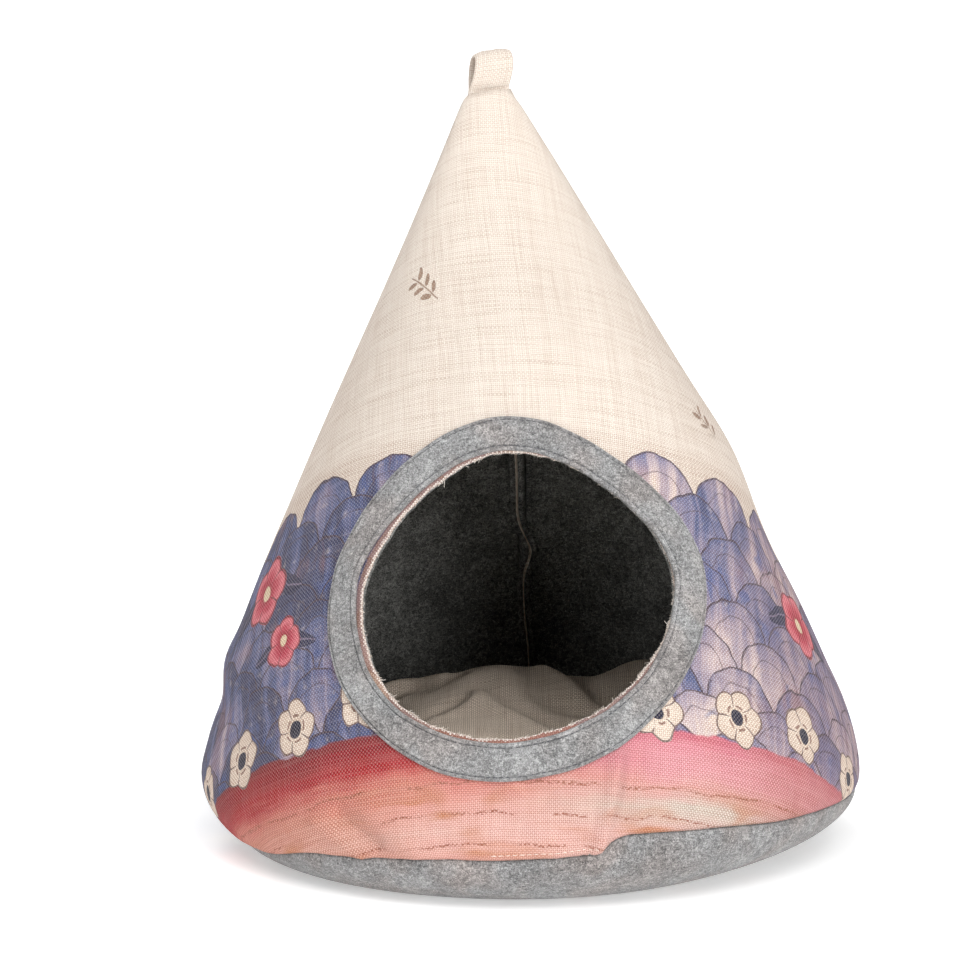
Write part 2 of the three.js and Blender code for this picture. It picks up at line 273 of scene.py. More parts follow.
@dataclass
class ConeBody:
    """The outline, folds, hem and doorway of the cone, with the solids' own sizes."""

    widest_radius: float = 212.0
    foot_rounding: float = 45.0
    foot_steps: int = 4
    # Height, radius and sideways shift
    sections: tuple[Triple, ...] = (
        (66, 208.5, 1),
        (92, 201, 0.5),
        (117, 192, -2),
        (170, 170.5, -4),
        (221, 148.5, -4.5),
        (272, 123.5, -7.5),
        (348, 83.5, -13.5),
        (425, 43.5, -20.5),
        (476, 16.8, -26),
    )
    tip_start: float = 320.0
    tip_depth_share: float = 0.36
    tip_turn: float = 10.0
    tip_slope: float = 5.0
    front_flatten: float = 0.04
    front_spread: float = 40.0
    front_middle: float = 190.0
    front_reach: float = 110.0
    folds: tuple[Fold, ...] = (
        Fold(5, 58, 8, 30, -2.5),
        Fold(20, 62, 7, 30, 5),
        Fold(-30, 40, 8, 18, 3.5),
        Fold(-88, 118, 26, 14, -2.5),
        Fold(-86, 92, 24, 14, 2),
        Fold(86, 200, 24, 34, 3.5),
        Fold(78, 258, 26, 28, -2.5),
        Fold(132, 120, 20, 45, 4),
        Fold(-138, 150, 18, 60, 3.5),
    )
    creases: tuple[Crease, ...] = (
        Crease((14.6, 94), (10.6, 40), 4.5, -5.2),
        Crease((18.0, 92), (15.6, 64), 5.0, 4.6),
        Crease((-34.5, 55), (-26.5, 36), 4.5, 3.8),
        Crease((-39, 46), (-30, 27), 5.0, -2.4),
        Crease((-29, 58), (-20, 36), 6.0, -1.6),
        Crease((-1.5, 84), (8.4, 42), 5.0, 2.4),
        Crease((-5, 80), (3.5, 39), 7.0, -1.5),
        Crease((-20, 70), (-14, 38), 8.0, 1.2),
        Crease((36, 78), (31, 54), 8.0, 1.0),
        Crease((52, 74), (56, 50), 9.0, -0.9),
        Crease((-60, 64), (-52, 34), 9.0, 1.0),
        Crease((98, 96), (112, 48), 10.0, 1.6),
        Crease((120, 84), (128, 40), 8.0, -1.4),
        Crease((-104, 90), (-118, 40), 10.0, 1.6),
        Crease((-150, 120), (-158, 44), 9.0, 1.5),
        Crease((158, 130), (166, 50), 9.0, 1.4),
        Crease((-26, 300), (-14, 380), 12.0, 0.7),
        Crease((30, 330), (24, 420), 9.0, 0.8),
    )
    fold_fade: tuple[float, float] = (4.0, 30.0)
    # Turn, spread and length
    tucks: tuple[Triple, ...] = ((66, 44, 46), (-78, 26, 9), (165, 40, 12))
    # Turn and height
    hem: tuple[tuple[float, float], ...] = (
        (-180, 26),
        (-125, 18),
        (-76, 8),
        (-58, 13),
        (-38, 25),
        (-10, 32),
        (9, 36),
        (17, 47),
        (30, 46.5),
        (50, 42.5),
        (80, 39),
        (135, 30),
        (180, 26),
    )
    hem_swell_turn: float = 13.0
    hem_swell_spread: float = 2.4
    hem_swell: float = 2.4
    door_turn: float = -3.2
    door_height: float = 184.8
    door_half_width: float = 103.0
    door_half_rise: float = 90.4
    door_slant: float = 0.07
    door_narrowing: float = 0.3
    narrowing_ease: float = 1.5
    door_corners: int = 3
    door_corner_turn: float = -11.0
    door_corner_swell: float = 0.026
    raw_edge: float = 1.7
    raw_edge_bias: float = 0.75
    raw_waves: tuple[Triple, ...] = ((0.3, 9, 0.4), (0.22, 23, 1.0), (0.14, 51, 0.0))
    raw_hidden_angle: float = 26.0
    raw_hidden_spread: float = 46.0
    raw_hidden_depth: float = 3.3
    settle_deep: float = -0.2
    flat_ratio: float = 0.458
    samples_per_span: int = 40
    table: Array = field(init=False, repr=False)
    slope: Array = field(init=False, repr=False)
    share: Array = field(init=False, repr=False)
    length: float = field(init=False)

    def __post_init__(self) -> None:
        """Traces the outline as one smooth curve through the foot and the sections."""
        angles = np.linspace(0, math.pi / 2, self.foot_steps + 1)
        foot = self.widest_radius - self.foot_rounding + self.foot_rounding * np.sin(angles)
        rows = [(r, 0.0, self.foot_rounding * (1 - math.cos(a))) for r, a in zip(foot, angles)]
        rows += [(radius, shift, height) for height, radius, shift in self.sections]
        knots = np.array(rows, float)
        knots = np.vstack([2 * knots[0] - knots[1], knots, 2 * knots[-1] - knots[-2]])
        traced = []
        steps = np.linspace(0, 1, self.samples_per_span, endpoint=False)[:, None]
        for index in range(1, len(knots) - 2):
            traced.append(self.span(knots[index - 1 : index + 3], steps))
        self.table = np.vstack([*traced, knots[-2][None]])
        run = run_lengths(self.table)
        self.length = float(run[-1])
        self.share = run / self.length
        self.slope = np.gradient(self.table, run, axis=0)

    @staticmethod
    def span(knots: Array, steps: Array) -> Array:
        """Traces the curve between the middle two of four knots.

        Args:
            knots: Four neighbouring knots.
            steps: Shares along the span, as a column.

        Returns:
            Points along the span.
        """
        before, here, after, beyond = knots
        gaps = np.sqrt(np.linalg.norm(np.diff(knots, axis=0), axis=1))
        leave = (here - before) / gaps[0] - (after - before) / (gaps[0] + gaps[1]) + (after - here) / gaps[1]
        arrive = (after - here) / gaps[1] - (beyond - here) / (gaps[1] + gaps[2]) + (beyond - after) / gaps[2]
        leave, arrive = leave * gaps[1], arrive * gaps[1]
        square, cube = steps**2, steps**3
        start = (2 * cube - 3 * square + 1) * here + (cube - 2 * square + steps) * leave
        return start + (3 * square - 2 * cube) * after + (cube - square) * arrive

    def outline(self, along: Array) -> tuple[Array, Array, Array]:
        """Gives the outline's radius, sideways shift and height at shares of its length."""
        return tuple(np.interp(along, self.share, self.table[:, part]) for part in range(3))

    def along_at(self, height: Array) -> Array:
        """Gives the share of the outline's length at which it reaches a height."""
        return np.interp(height, self.table[:, 2], self.share)

    def hem_height(self, turn: Array) -> Array:
        """Gives the hem's height at turns, eased between the rows of its table.

        Args:
            turn: Turns in degrees.

        Returns:
            Heights in millimetres.
        """
        places = np.array([row[0] for row in self.hem], float)
        heights = np.array([row[1] for row in self.hem], float)
        place = turn_between(turn, 0.0)
        row = np.clip(np.searchsorted(places, place, side="right") - 1, 0, len(places) - 2)
        share = smooth(0.0, 1.0, (place - places[row]) / (places[row + 1] - places[row]))
        swell = self.hem_swell * bell((place - self.hem_swell_turn) / self.hem_swell_spread)
        return heights[row] + (heights[row + 1] - heights[row]) * share + swell

    def hem_along(self, turn: Array) -> Array:
        """Gives the share of the outline's length at which the hem lies."""
        return self.along_at(self.hem_height(turn))

    def tuck_length(self, turn: Array) -> Array:
        """Gives how far the foot's floor edge is drawn in at turns."""
        lengths = [size * bell(turn_between(turn, at) / spread) for at, spread, size in self.tucks]
        return np.sum(lengths, axis=0)

    def flat_place(self, turn: Array, along: Array) -> Array:
        """Lays points of the wall out on the flat cut of the cone.

        Args:
            turn: Turns in degrees.
            along: Shares of the outline's length.

        Returns:
            Sideways and upward places in millimetres from the cut's apex.
        """
        tip_run = self.table[-1, 0] / self.flat_ratio
        run = tip_run + (1.0 - along) * self.length
        angle = np.radians(turn) * self.flat_ratio
        return np.stack([run * np.sin(angle), -run * np.cos(angle)], axis=-1)

    def fold_depth(self, turn: Array, along: Array, height: Array) -> Array:
        """Gives how far folds and creases push the wall inward.

        Args:
            turn: Turns in degrees.
            along: Shares of the outline's length.
            height: Heights in millimetres.

        Returns:
            Depths in millimetres.
        """
        depth = np.zeros(np.broadcast(turn, height).shape)
        for fold in self.folds:
            across = turn_between(turn, fold.turn) / fold.spread
            depth += fold.depth * np.exp(-(across**2) - ((height - fold.height) / fold.reach) ** 2)
        places = self.flat_place(turn_between(turn, 0.0), along)
        for crease in self.creases:
            ends = [self.flat_place(np.float64(t), self.along_at(h)) for t, h in (crease.start, crease.end)]
            course = ends[1] - ends[0]
            reach = np.clip((places - ends[0]) @ course / (course @ course), 0.0, 1.0)
            away = np.linalg.norm(places - ends[0] - reach[..., None] * course, axis=-1)
            depth += crease.depth * bell(away / crease.width)
        return depth * smooth(self.fold_fade[0], self.fold_fade[1], height)

    def wall(self, turn: Array, along: Array, inset: Array | float) -> Array:
        """Gives points of the wall.

        Args:
            turn: Turns in degrees.
            along: Shares of the outline's length.
            inset: Depths under the outer face, in millimetres.

        Returns:
            Points in millimetres.
        """
        turn, along, inset = np.broadcast_arrays(np.asarray(turn, float), np.clip(along, 0, 1), inset)
        radius, shift, height = self.outline(along)
        rise = np.interp(along, self.share, self.slope[:, 2])
        lean = np.interp(along, self.share, self.slope[:, 0])
        across = np.hypot(rise, lean)
        depth = inset + self.fold_depth(turn, along, height)
        front = (turn_between(turn, 0.0) / self.front_spread) ** 2
        front = front + ((height - self.front_middle) / self.front_reach) ** 2
        under = np.where(height < self.foot_rounding, (self.widest_radius - radius) / self.foot_rounding, 0.0)
        wide_radius = radius * (1 - self.front_flatten * np.exp(-front)) - self.tuck_length(turn) * under
        inward = depth * rise / across
        squeeze = 1 + (self.tip_depth_share - 1) * smooth(self.tip_start, self.table[-1, 2], height)
        tip_turn = math.radians(self.tip_turn)
        angle = np.radians(turn) - tip_turn
        facing = np.stack([squeeze * np.sin(angle), -np.cos(angle)])
        facing = facing / np.linalg.norm(facing, axis=0)
        wide = wide_radius * np.sin(angle) - inward * facing[0]
        deep = -wide_radius * squeeze * np.cos(angle) - inward * facing[1]
        x = shift + wide * math.cos(tip_turn) - deep * math.sin(tip_turn)
        y = wide * math.sin(tip_turn) + deep * math.cos(tip_turn) + self.settle_deep
        return np.stack([x, y, height + depth * lean / across], axis=-1)

    def door_outline(self, angle: Array) -> Array:
        """Gives the doorway's edge on the flat cloth.

        Args:
            angle: Angles round the doorway.

        Returns:
            Places sideways and up from its middle, in millimetres.
        """
        narrow = 1 - self.door_narrowing * np.maximum(0, np.sin(angle)) ** self.narrowing_ease
        up = self.door_half_rise * np.sin(angle)
        corner = self.door_corners * (angle - math.radians(self.door_corner_turn))
        swell = 1 + self.door_corner_swell * np.cos(corner)
        sideways = self.door_half_width * np.cos(angle) * narrow + self.door_slant * up
        return np.stack([sideways * swell, up * swell], axis=-1)

    def door_edge(self, angle: Array, margin: Array | float) -> tuple[Array, Array]:
        """Gives places round the doorway, set outward on the cloth by a margin.

        Args:
            angle: Angles round the doorway.
            margin: Distance outward from the band's inner edge, in millimetres.

        Returns:
            The turns and the shares of the outline.
        """
        nudge = 0.01
        course = unit(self.door_outline(angle + nudge) - self.door_outline(angle - nudge))
        outward = np.stack([course[..., 1], -course[..., 0]], axis=-1)
        place = self.door_outline(angle) + outward * np.asarray(margin)[..., None]
        along = self.along_at(self.door_height) + place[..., 1] / self.length
        turn = self.door_turn + np.degrees(place[..., 0] / self.outline(along)[0])
        return turn, along

    def raw_margin(self, angle: Array) -> Array:
        """Gives how far the linen's hand-cut edge lies inside the band, as a margin below zero.

        Args:
            angle: Angles round the doorway.

        Returns:
            Margins in millimetres.
        """
        uneven = ripple(angle, self.raw_waves)
        beside = turn_between(np.degrees(angle), self.raw_hidden_angle) / self.raw_hidden_spread
        hidden = self.raw_hidden_depth * np.exp(-(beside**4))
        return hidden - (self.raw_edge - self.raw_edge_bias * np.cos(angle) + uneven)

    def door_place(self, turn: Array, along: Array) -> Array:
        """Gives places on the flat cloth, sideways and up from the doorway's middle."""
        sideways = np.radians(turn_between(turn, self.door_turn)) * self.outline(along)[0]
        return np.stack([sideways, (along - self.along_at(self.door_height)) * self.length], axis=-1)


# Shader nodes written as arithmetic


class Value:
    """A number that flows through a material's nodes, with the usual arithmetic."""

    def __init__(self, bench: Bench, socket: NodeSocket) -> None:
        """Keeps the node bench and the socket that gives the number."""
        self.bench = bench
        self.socket = socket

    def math(self, operation: str, *others: Value | float) -> Value:
        """Adds a maths node that starts from this number."""
        return self.bench.number(operation, self, *others)

    def __add__(self, other: Value | float) -> Value:
        """Adds."""
        return self.math("ADD", other)

    def __sub__(self, other: Value | float) -> Value:
        """Subtracts."""
        return self.math("SUBTRACT", other)

    def __mul__(self, other: Value | float) -> Value:
        """Multiplies."""
        return self.math("MULTIPLY", other)

    def __truediv__(self, other: Value | float) -> Value:
        """Divides."""
        return self.math("DIVIDE", other)

    def floor(self) -> Value:
        """Rounds down."""
        return self.math("FLOOR")

    def fract(self) -> Value:
        """Keeps what lies past the whole number."""
        return self.math("FRACT")

    def size(self) -> Value:
        """Drops the sign."""
        return self.math("ABSOLUTE")

    def flip(self) -> Value:
        """Gives one less this number."""
        return self.bench.number("SUBTRACT", 1.0, self)

    def ease(self, low: float, high: float) -> Value:
        """Eases from 0 at low to 1 at high, which may lie either way round.

        Args:
            low: Where the result is 0.
            high: Where the result is 1.

        Returns:
            A share from 0 to 1.
        """
        bottom, top = (1.0, 0.0) if low > high else (0.0, 1.0)
        limits = {"From Min": min(low, high), "From Max": max(low, high), "To Min": bottom, "To Max": top}
        entries = {"Value": self, **limits}
        node = self.bench.node("ShaderNodeMapRange", entries, interpolation_type="SMOOTHSTEP")
        return Value(self.bench, node.outputs["Result"])


class NodeBench:
    """Adds nodes to a tree, sets them and feeds their inputs."""

    def __init__(self, tree: bpy.types.NodeTree) -> None:
        """Keeps the tree."""
        self.tree = tree

    def feed(self, target: NodeSocket, entry: object) -> None:
        """Links a flowing value into a socket, or sets the socket's own number.

        Args:
            target: The input socket.
            entry: A Value, a socket or a plain number or colour.
        """
        source = entry.socket if isinstance(entry, Value) else entry
        if isinstance(source, NodeSocket):
            self.tree.links.new(source, target)
        else:
            target.default_value = source

    def node(self, kind: str, entries: dict[str | int, object], **settings: object) -> bpy.types.Node:
        """Adds a node, sets it and feeds its inputs.

        Args:
            kind: The node's type.
            entries: What its inputs take, by name or number.
            settings: The node's own settings.

        Returns:
            The node.
        """
        node = self.tree.nodes.new(kind)
        for key, setting in settings.items():
            setattr(node, key, setting)
        for key, entry in entries.items():
            self.feed(node.inputs[key], entry)
        return node


class Bench(NodeBench):
    """Builds the nodes of one material."""

    def __init__(self, name: str) -> None:
        """Starts a material with its shader.

        Args:
            name: The material's name.
        """
        self.material = bpy.data.materials.new(name)
        self.material.use_nodes = True
        super().__init__(self.material.node_tree)
        self.shader = self.tree.nodes["Principled BSDF"]

    def number(self, operation: str, *numbers: Value | float) -> Value:
        """Adds a maths node that takes the numbers in their order."""
        node = self.node("ShaderNodeMath", dict(enumerate(numbers)), operation=operation)
        return Value(self, node.outputs[0])

    def places(self, guide: ThreadGuide) -> tuple[Value, Value, Value]:
        """Reads where a point lies, in metres.

        Args:
            guide: The flat cut's map or the object's own space.

        Returns:
            The three parts of the place.
        """
        if guide is ThreadGuide.FLAT_CUT:
            source = self.node("ShaderNodeUVMap", {}, uv_map=FLAT_MAP).outputs["UV"]
        else:
            source = self.node("ShaderNodeTexCoord", {}).outputs["Object"]
        split = self.node("ShaderNodeSeparateXYZ", {0: source})
        return tuple(Value(self, part) for part in split.outputs)

    def vector(self, x: object, y: object = 0.0, z: object = 0.0) -> NodeSocket:
        """Joins three numbers into a vector."""
        return self.node("ShaderNodeCombineXYZ", {"X": x, "Y": y, "Z": z}).outputs[0]

    def noise(self, place: object, scale: float, detail: float = 2.0, warp: float = 0.0) -> Value:
        """Adds soft noise about 0.5, with its fineness, its octaves and how far it is bent by itself."""
        entries = {"Vector": place, "Scale": scale, "Detail": detail, "Distortion": warp}
        return Value(self, self.node("ShaderNodeTexNoise", entries).outputs["Fac"])

    def chance(self, x: object, y: object = 0.0) -> Value:
        """Gives each pair of whole numbers its own even chance from 0 to 1."""
        node = self.node("ShaderNodeTexWhiteNoise", {"Vector": self.vector(x, y)}, noise_dimensions="2D")
        return Value(self, node.outputs["Value"])

    def ramp(self, value: Value, stops: Stops) -> NodeSocket:
        """Colours a number by stops.

        Args:
            value: The number, from 0 to 1.
            stops: Places with their screen colours.

        Returns:
            The colour's socket.
        """
        node = self.node("ShaderNodeValToRGB", {0: value})
        elements = node.color_ramp.elements
        while len(elements) < len(stops):
            elements.new(1.0)
        for element, (place, colour) in zip(elements, stops):
            element.position = place
            element.color = linear(*colour)
        return node.outputs["Color"]

    def mix(self, share: object, under: object, over: object, blend: str = "MIX") -> NodeSocket:
        """Lays one colour over another by a share."""
        entries = {0: share, 6: under, 7: over}
        return self.node("ShaderNodeMix", entries, data_type="RGBA", blend_type=blend).outputs[2]

    def choose(self, share: Value, under: Value, over: Value) -> Value:
        """Goes from one number to another by a share."""
        return under + (over - under) * share

    def bump(self, height: Value, depth: float, strength: float = 1.0) -> NodeSocket:
        """Turns a height into shading; the depth is what a height of 1 stands for, in millimetres."""
        entries = {"Strength": strength, "Distance": depth * MM, "Height": height}
        return self.node("ShaderNodeBump", entries).outputs["Normal"]

    def shade(self, entries: dict[str, object]) -> Material:
        """Feeds inputs of the shader by their names.

        Args:
            entries: What the inputs take.

        Returns:
            The material.
        """
        for name, entry in entries.items():
            self.feed(self.shader.inputs[name], entry)
        return self.material

    def dress(self, colour: object, normal: object, roughness: object, sheen: float) -> Material:
        """Shades cloth, felt or thread, which are dull; the sheen is what their fuzz catches of the light."""
        entries = {"Base Color": colour, "Normal": normal, "Roughness": roughness, "Sheen Weight": sheen}
        return self.shade({**entries, "Specular IOR Level": 0.15, "Sheen Roughness": 0.6})


# Finishes


@dataclass(frozen=True)
class PaintPlace:
    """Where a point of the print lies, in millimetres, and the uneven washes that its paints share."""

    bench: Bench
    side: Value
    down: Value
    drift: Value
    grain: Value
    brush: Value
    stroke: Value


@dataclass(frozen=True)
class PrintDesign:
    """A generic watercolour print: wave scales, round blossoms, a red wash and sprigs."""

    wobble: float = 6.0
    blue_top: float = 254.0
    red_top: float = 441.0
    red_depth: float = 92.0
    brush_lines: tuple[float, ...] = (476.0, 494.0, 513.0)
    scale_width: float = 58.0
    scale_rise: float = 21.0
    blossom_line: float = 424.0
    blossom_gap: float = 62.0
    blossom_radius: float = 18.5
    sprig_cell: float = 66.0
    # Place sideways and down, and radius
    red_blooms: tuple[Triple, ...] = (
        (-206.0, 322.0, 25.0),
        (-178.0, 366.0, 17.0),
        (222.0, 338.0, 23.0),
        (92.0, 356.0, 14.0),
    )
    wave_stops: Stops = (
        (0.0, (236, 222, 212)),
        (0.2, (214, 200, 205)),
        (0.42, (172, 162, 182)),
        (0.62, (124, 127, 166)),
        (0.82, (74, 94, 148)),
        (1.0, (44, 58, 106)),
    )
    left_stops: Stops = (
        (0.0, (132, 10, 24)),
        (0.13, (164, 14, 26)),
        (0.25, (182, 32, 38)),
        (0.33, (212, 120, 108)),
        (0.5, (228, 162, 150)),
        (0.7, (234, 188, 178)),
        (0.9, (226, 164, 150)),
    )
    right_stops: Stops = (
        (0.0, (212, 104, 126)),
        (0.1, (230, 150, 164)),
        (0.24, (230, 162, 170)),
        (0.36, (222, 166, 160)),
        (0.5, (214, 204, 192)),
        (0.7, (220, 172, 164)),
        (0.9, (222, 190, 178)),
    )
    cream_stops: Stops = ((0.0, (222, 204, 186)), (0.5, (240, 228, 214)), (1.0, (228, 214, 200)))
    red_stops: Stops = (
        (0.1, (150, 28, 46)),
        (0.5, (205, 66, 92)),
        (0.8, (232, 132, 146)),
        (1.0, (206, 84, 104)),
    )
    brown_stops: Stops = ((0.2, (112, 84, 66)), (0.55, (150, 120, 98)), (0.9, (186, 158, 134)))

    def paint(self, bench: Bench, side: Value, down: Value, cloth: object) -> NodeSocket:
        """Paints the print over the bare cloth.

        Args:
            bench: The material's nodes.
            side: Sideways place on the flat cut, in millimetres.
            down: Place down from the cut's apex, in millimetres.
            cloth: The bare cloth's colour.

        Returns:
            The printed colour.
        """
        place = bench.vector(side, down)
        side = side + (bench.noise(place, 1 / 16, 1.0) - 0.5) * self.wobble
        down = down + (bench.noise(bench.vector(side, down, 90.0), 1 / 16, 1.0) - 0.5) * self.wobble
        at = PaintPlace(
            bench,
            side,
            down,
            drift=bench.noise(place, 1 / 48, 3.0) - 0.5,
            grain=bench.noise(place, 1 / 7, 3.0) - 0.5,
            brush=bench.noise(bench.vector(side / 62, down / 9), 1.0, 3.0, 0.6) - 0.5,
            stroke=bench.noise(bench.vector(side / 8, down / 70), 1.0, 3.0, 0.4) - 0.5,
        )
        colour = cloth
        for layer in (self.sprigs, self.waves, self.wash, self.blossoms):
            colour = layer(at, colour)
        return colour

    def scale_row(self, bench: Bench, side: Value, down: Value, back: int) -> tuple[Value, Value, Value]:
        """Finds the scale of one row that a point may lie on.

        Args:
            bench: The material's nodes.
            side: Sideways place.
            down: Place down.
            back: How many rows behind the foremost.

        Returns:
            The distance from the scale's middle, 1 at its rim, its own chance, and 1 on a painted scale.
        """
        radius = self.scale_width / 2
        row = ((down + radius) / self.scale_rise).floor() - float(back)
        stagger = row.math("FLOORED_MODULO", 2.0) * 0.5
        cell = side / self.scale_width + stagger
        across = (cell.fract() - 0.5) * self.scale_width
        upward = down - row * self.scale_rise
        away = (across * across + upward * upward).math("SQRT") / radius
        painted = (row * self.scale_rise - radius).math("GREATER_THAN", self.blue_top)
        return away, bench.chance(cell.floor(), row), away.math("LESS_THAN", 1.0) * painted

    def waves(self, at: PaintPlace, under: object) -> NodeSocket:
        """Paints the blue and violet wave scales with their ink rims.

        Args:
            at: The place and its washes.
            under: The colour below.

        Returns:
            The colour.
        """
        bench, side = at.bench, at.side
        bent = at.down + at.drift * 14.0
        rows = [self.scale_row(bench, side, bent, back) for back in range(3)]
        (near, near_chance, on_near), (mid, mid_chance, on_mid), (far, far_chance, on_far) = rows
        away = bench.choose(on_near, bench.choose(on_mid, far, mid), near)
        chance = bench.choose(on_near, bench.choose(on_mid, far_chance, mid_chance), near_chance)
        # Deeper toward the left and toward the far right.
        deeper = side.ease(190.0, -190.0) * 0.5 + side.ease(130.0, 210.0) * 0.22 + 0.02
        tone = chance * 0.42 + away * away * 0.24 + at.drift * 1.0 + at.stroke * 1.15 + deeper + 0.04
        wash = bench.ramp(tone, self.wave_stops)
        wash = bench.mix(at.grain.ease(0.06, 0.3) * 0.35, wash, linear(238, 226, 216))
        mauve = (at.stroke * 0.6 - at.drift).ease(0.04, 0.22) * 0.45
        # More mauve toward the far right.
        wash = bench.mix(mauve + side.ease(130.0, 210.0) * 0.3, wash, linear(150, 114, 128))
        spots = bench.noise(bench.vector(side / 20, at.down / 27), 1.0, 2.0, 0.5).ease(0.58, 0.7)
        wash = bench.mix(spots * 0.6, wash, linear(52, 88, 160))
        rim = away.ease(0.94, 0.975)
        inner = (away - 0.62).size().ease(0.026, 0.01) * 0.6
        broken = (at.grain + at.drift * 0.6).ease(-0.28, -0.06)
        ink = rim.math("MAXIMUM", inner) * broken
        wash = bench.mix(ink * 0.9, wash, linear(62, 44, 66))
        shown = on_near.math("MAXIMUM", on_mid).math("MAXIMUM", on_far)
        return bench.mix(shown * 0.96, under, wash)

    def wash(self, at: PaintPlace, under: object) -> NodeSocket:
        """Paints the red band that runs out into salmon and cream, with dry brush lines.

        Args:
            at: The place and its washes.
            under: The colour below.

        Returns:
            The colour.
        """
        bench, side, down = at.bench, at.side, at.down
        depth = (down - self.red_top + at.brush * 17.0 + at.drift * 10.0) / self.red_depth
        left = bench.ramp(depth, self.left_stops)
        right = bench.ramp(depth, self.right_stops)
        wash = bench.mix(side.ease(-60.0, 110.0), left, right)
        # Darker toward the far right.
        wash = bench.mix(side.ease(120.0, 205.0) * 0.5, wash, linear(186, 106, 102))
        ochre = (bench.noise(bench.vector(side / 60, down / 18), 1.0, 2.0, 0.6) - 0.5).ease(0.0, 0.3)
        ochre = ochre * 0.95 + side.ease(-50.0, -140.0) * 0.3
        wash = bench.mix(ochre * depth.ease(0.3, 0.5), wash, linear(198, 126, 78))
        wander = bench.noise(bench.vector(side / 110), 1.0, 1.0) * 22.0 + at.grain * 1.2
        dry = bench.noise(bench.vector(side / 2.1, down / 1.3), 1.0, 2.0).ease(0.44, 0.56)
        gone = bench.noise(bench.vector(side / 30, down / 30), 1.0, 1.0).ease(0.4, 0.5)
        for start in self.brush_lines:
            line = (down - start + wander - 11.0).size().ease(1.3, 0.4)
            wash = bench.mix(line * dry * gone * 0.9, wash, linear(156, 84, 52))
        edge = down + at.drift * 6.0 + at.grain * 3.0
        shown = edge.ease(self.red_top - 1.0, self.red_top + 1.0)
        return bench.mix(shown * 0.95, under, wash)

    @staticmethod
    def bloom(across: Value, upward: Value, radius: float) -> tuple[Value, Value, Value]:
        """Shapes one round blossom of five petals.

        Args:
            across: Sideways place from its middle.
            upward: Upward place from its middle.
            radius: Its radius.

        Returns:
            How far out a point lies, 1 at the rim, the petals' own wave, and the plain distance.
        """
        away = (across * across + upward * upward).math("SQRT")
        petal = (upward.math("ARCTAN2", across) * 2.5).math("COSINE").size()
        return away / (petal * 0.2 + 0.82) / radius, petal, away

    def blossoms(self, at: PaintPlace, under: object) -> NodeSocket:
        """Paints the row of cream blossoms and a few red ones among navy leaves.

        Args:
            at: The place and its washes.
            under: The colour below.

        Returns:
            The colour.
        """
        bench = at.bench
        cell = at.side / self.blossom_gap + 0.23
        chance = bench.chance(cell.floor(), 7.0)
        across = (cell.fract() - 0.5) * self.blossom_gap + (chance - 0.5) * 10.0
        upward = at.down - self.blossom_line + (chance - 0.5) * 16.0
        out, petal, away = self.bloom(across, upward, self.blossom_radius)
        cream = bench.ramp(out, self.cream_stops)
        line = petal.ease(0.14, 0.05) * out.ease(0.35, 0.5)
        rim = (out - 0.96).size().ease(0.05, 0.02)
        ink = rim.math("MAXIMUM", line) * at.grain.ease(-0.26, -0.1)
        cream = bench.mix(ink * 0.85, cream, linear(84, 56, 62))
        cream = bench.mix(away.ease(5.4, 4.6), cream, linear(40, 44, 70))
        dots = (away - 7.6).size().ease(1.0, 0.5) * petal.ease(0.55, 0.7)
        cream = bench.mix(dots * 0.8, cream, linear(120, 74, 62))
        colour = bench.mix(out.ease(1.0, 0.985), under, cream)
        for bloom in self.red_blooms:
            colour = self.red_bloom(at, bloom, colour)
        return colour

    def red_bloom(self, at: PaintPlace, bloom: Triple, under: object) -> NodeSocket:
        """Paints one red blossom over two navy leaves.

        Args:
            at: The place and its washes.
            bloom: Its place and radius.
            under: The colour below.

        Returns:
            The colour.
        """
        bench, radius = at.bench, bloom[2]
        across, upward = at.side - bloom[0], at.down - bloom[1]
        leaf_across = across.size() - radius * 1.05
        leaf_up = upward - across.size() * 0.35 + radius * 0.25
        leaf = (leaf_across / (radius * 0.75)).math("POWER", 2.0)
        leaf = leaf + (leaf_up / (radius * 0.3)).math("POWER", 2.0)
        colour = bench.mix(leaf.ease(1.05, 0.95) * 0.92, under, linear(44, 48, 84))
        vein = leaf_up.size().ease(0.9, 0.3) * leaf.ease(1.0, 0.9)
        colour = bench.mix(vein * 0.6, colour, linear(150, 140, 170))
        out, petal, away = self.bloom(across, upward, radius)
        red = bench.ramp(out + at.grain * 0.35, self.red_stops)
        line = petal.ease(0.12, 0.04) * out.ease(0.3, 0.5)
        rim = (out - 0.95).size().ease(0.045, 0.02)
        red = bench.mix(rim.math("MAXIMUM", line) * 0.8, red, linear(92, 30, 44))
        red = bench.mix(away.ease(radius * 0.24, radius * 0.18), red, linear(238, 222, 190))
        return bench.mix(out.ease(1.0, 0.985), colour, red)

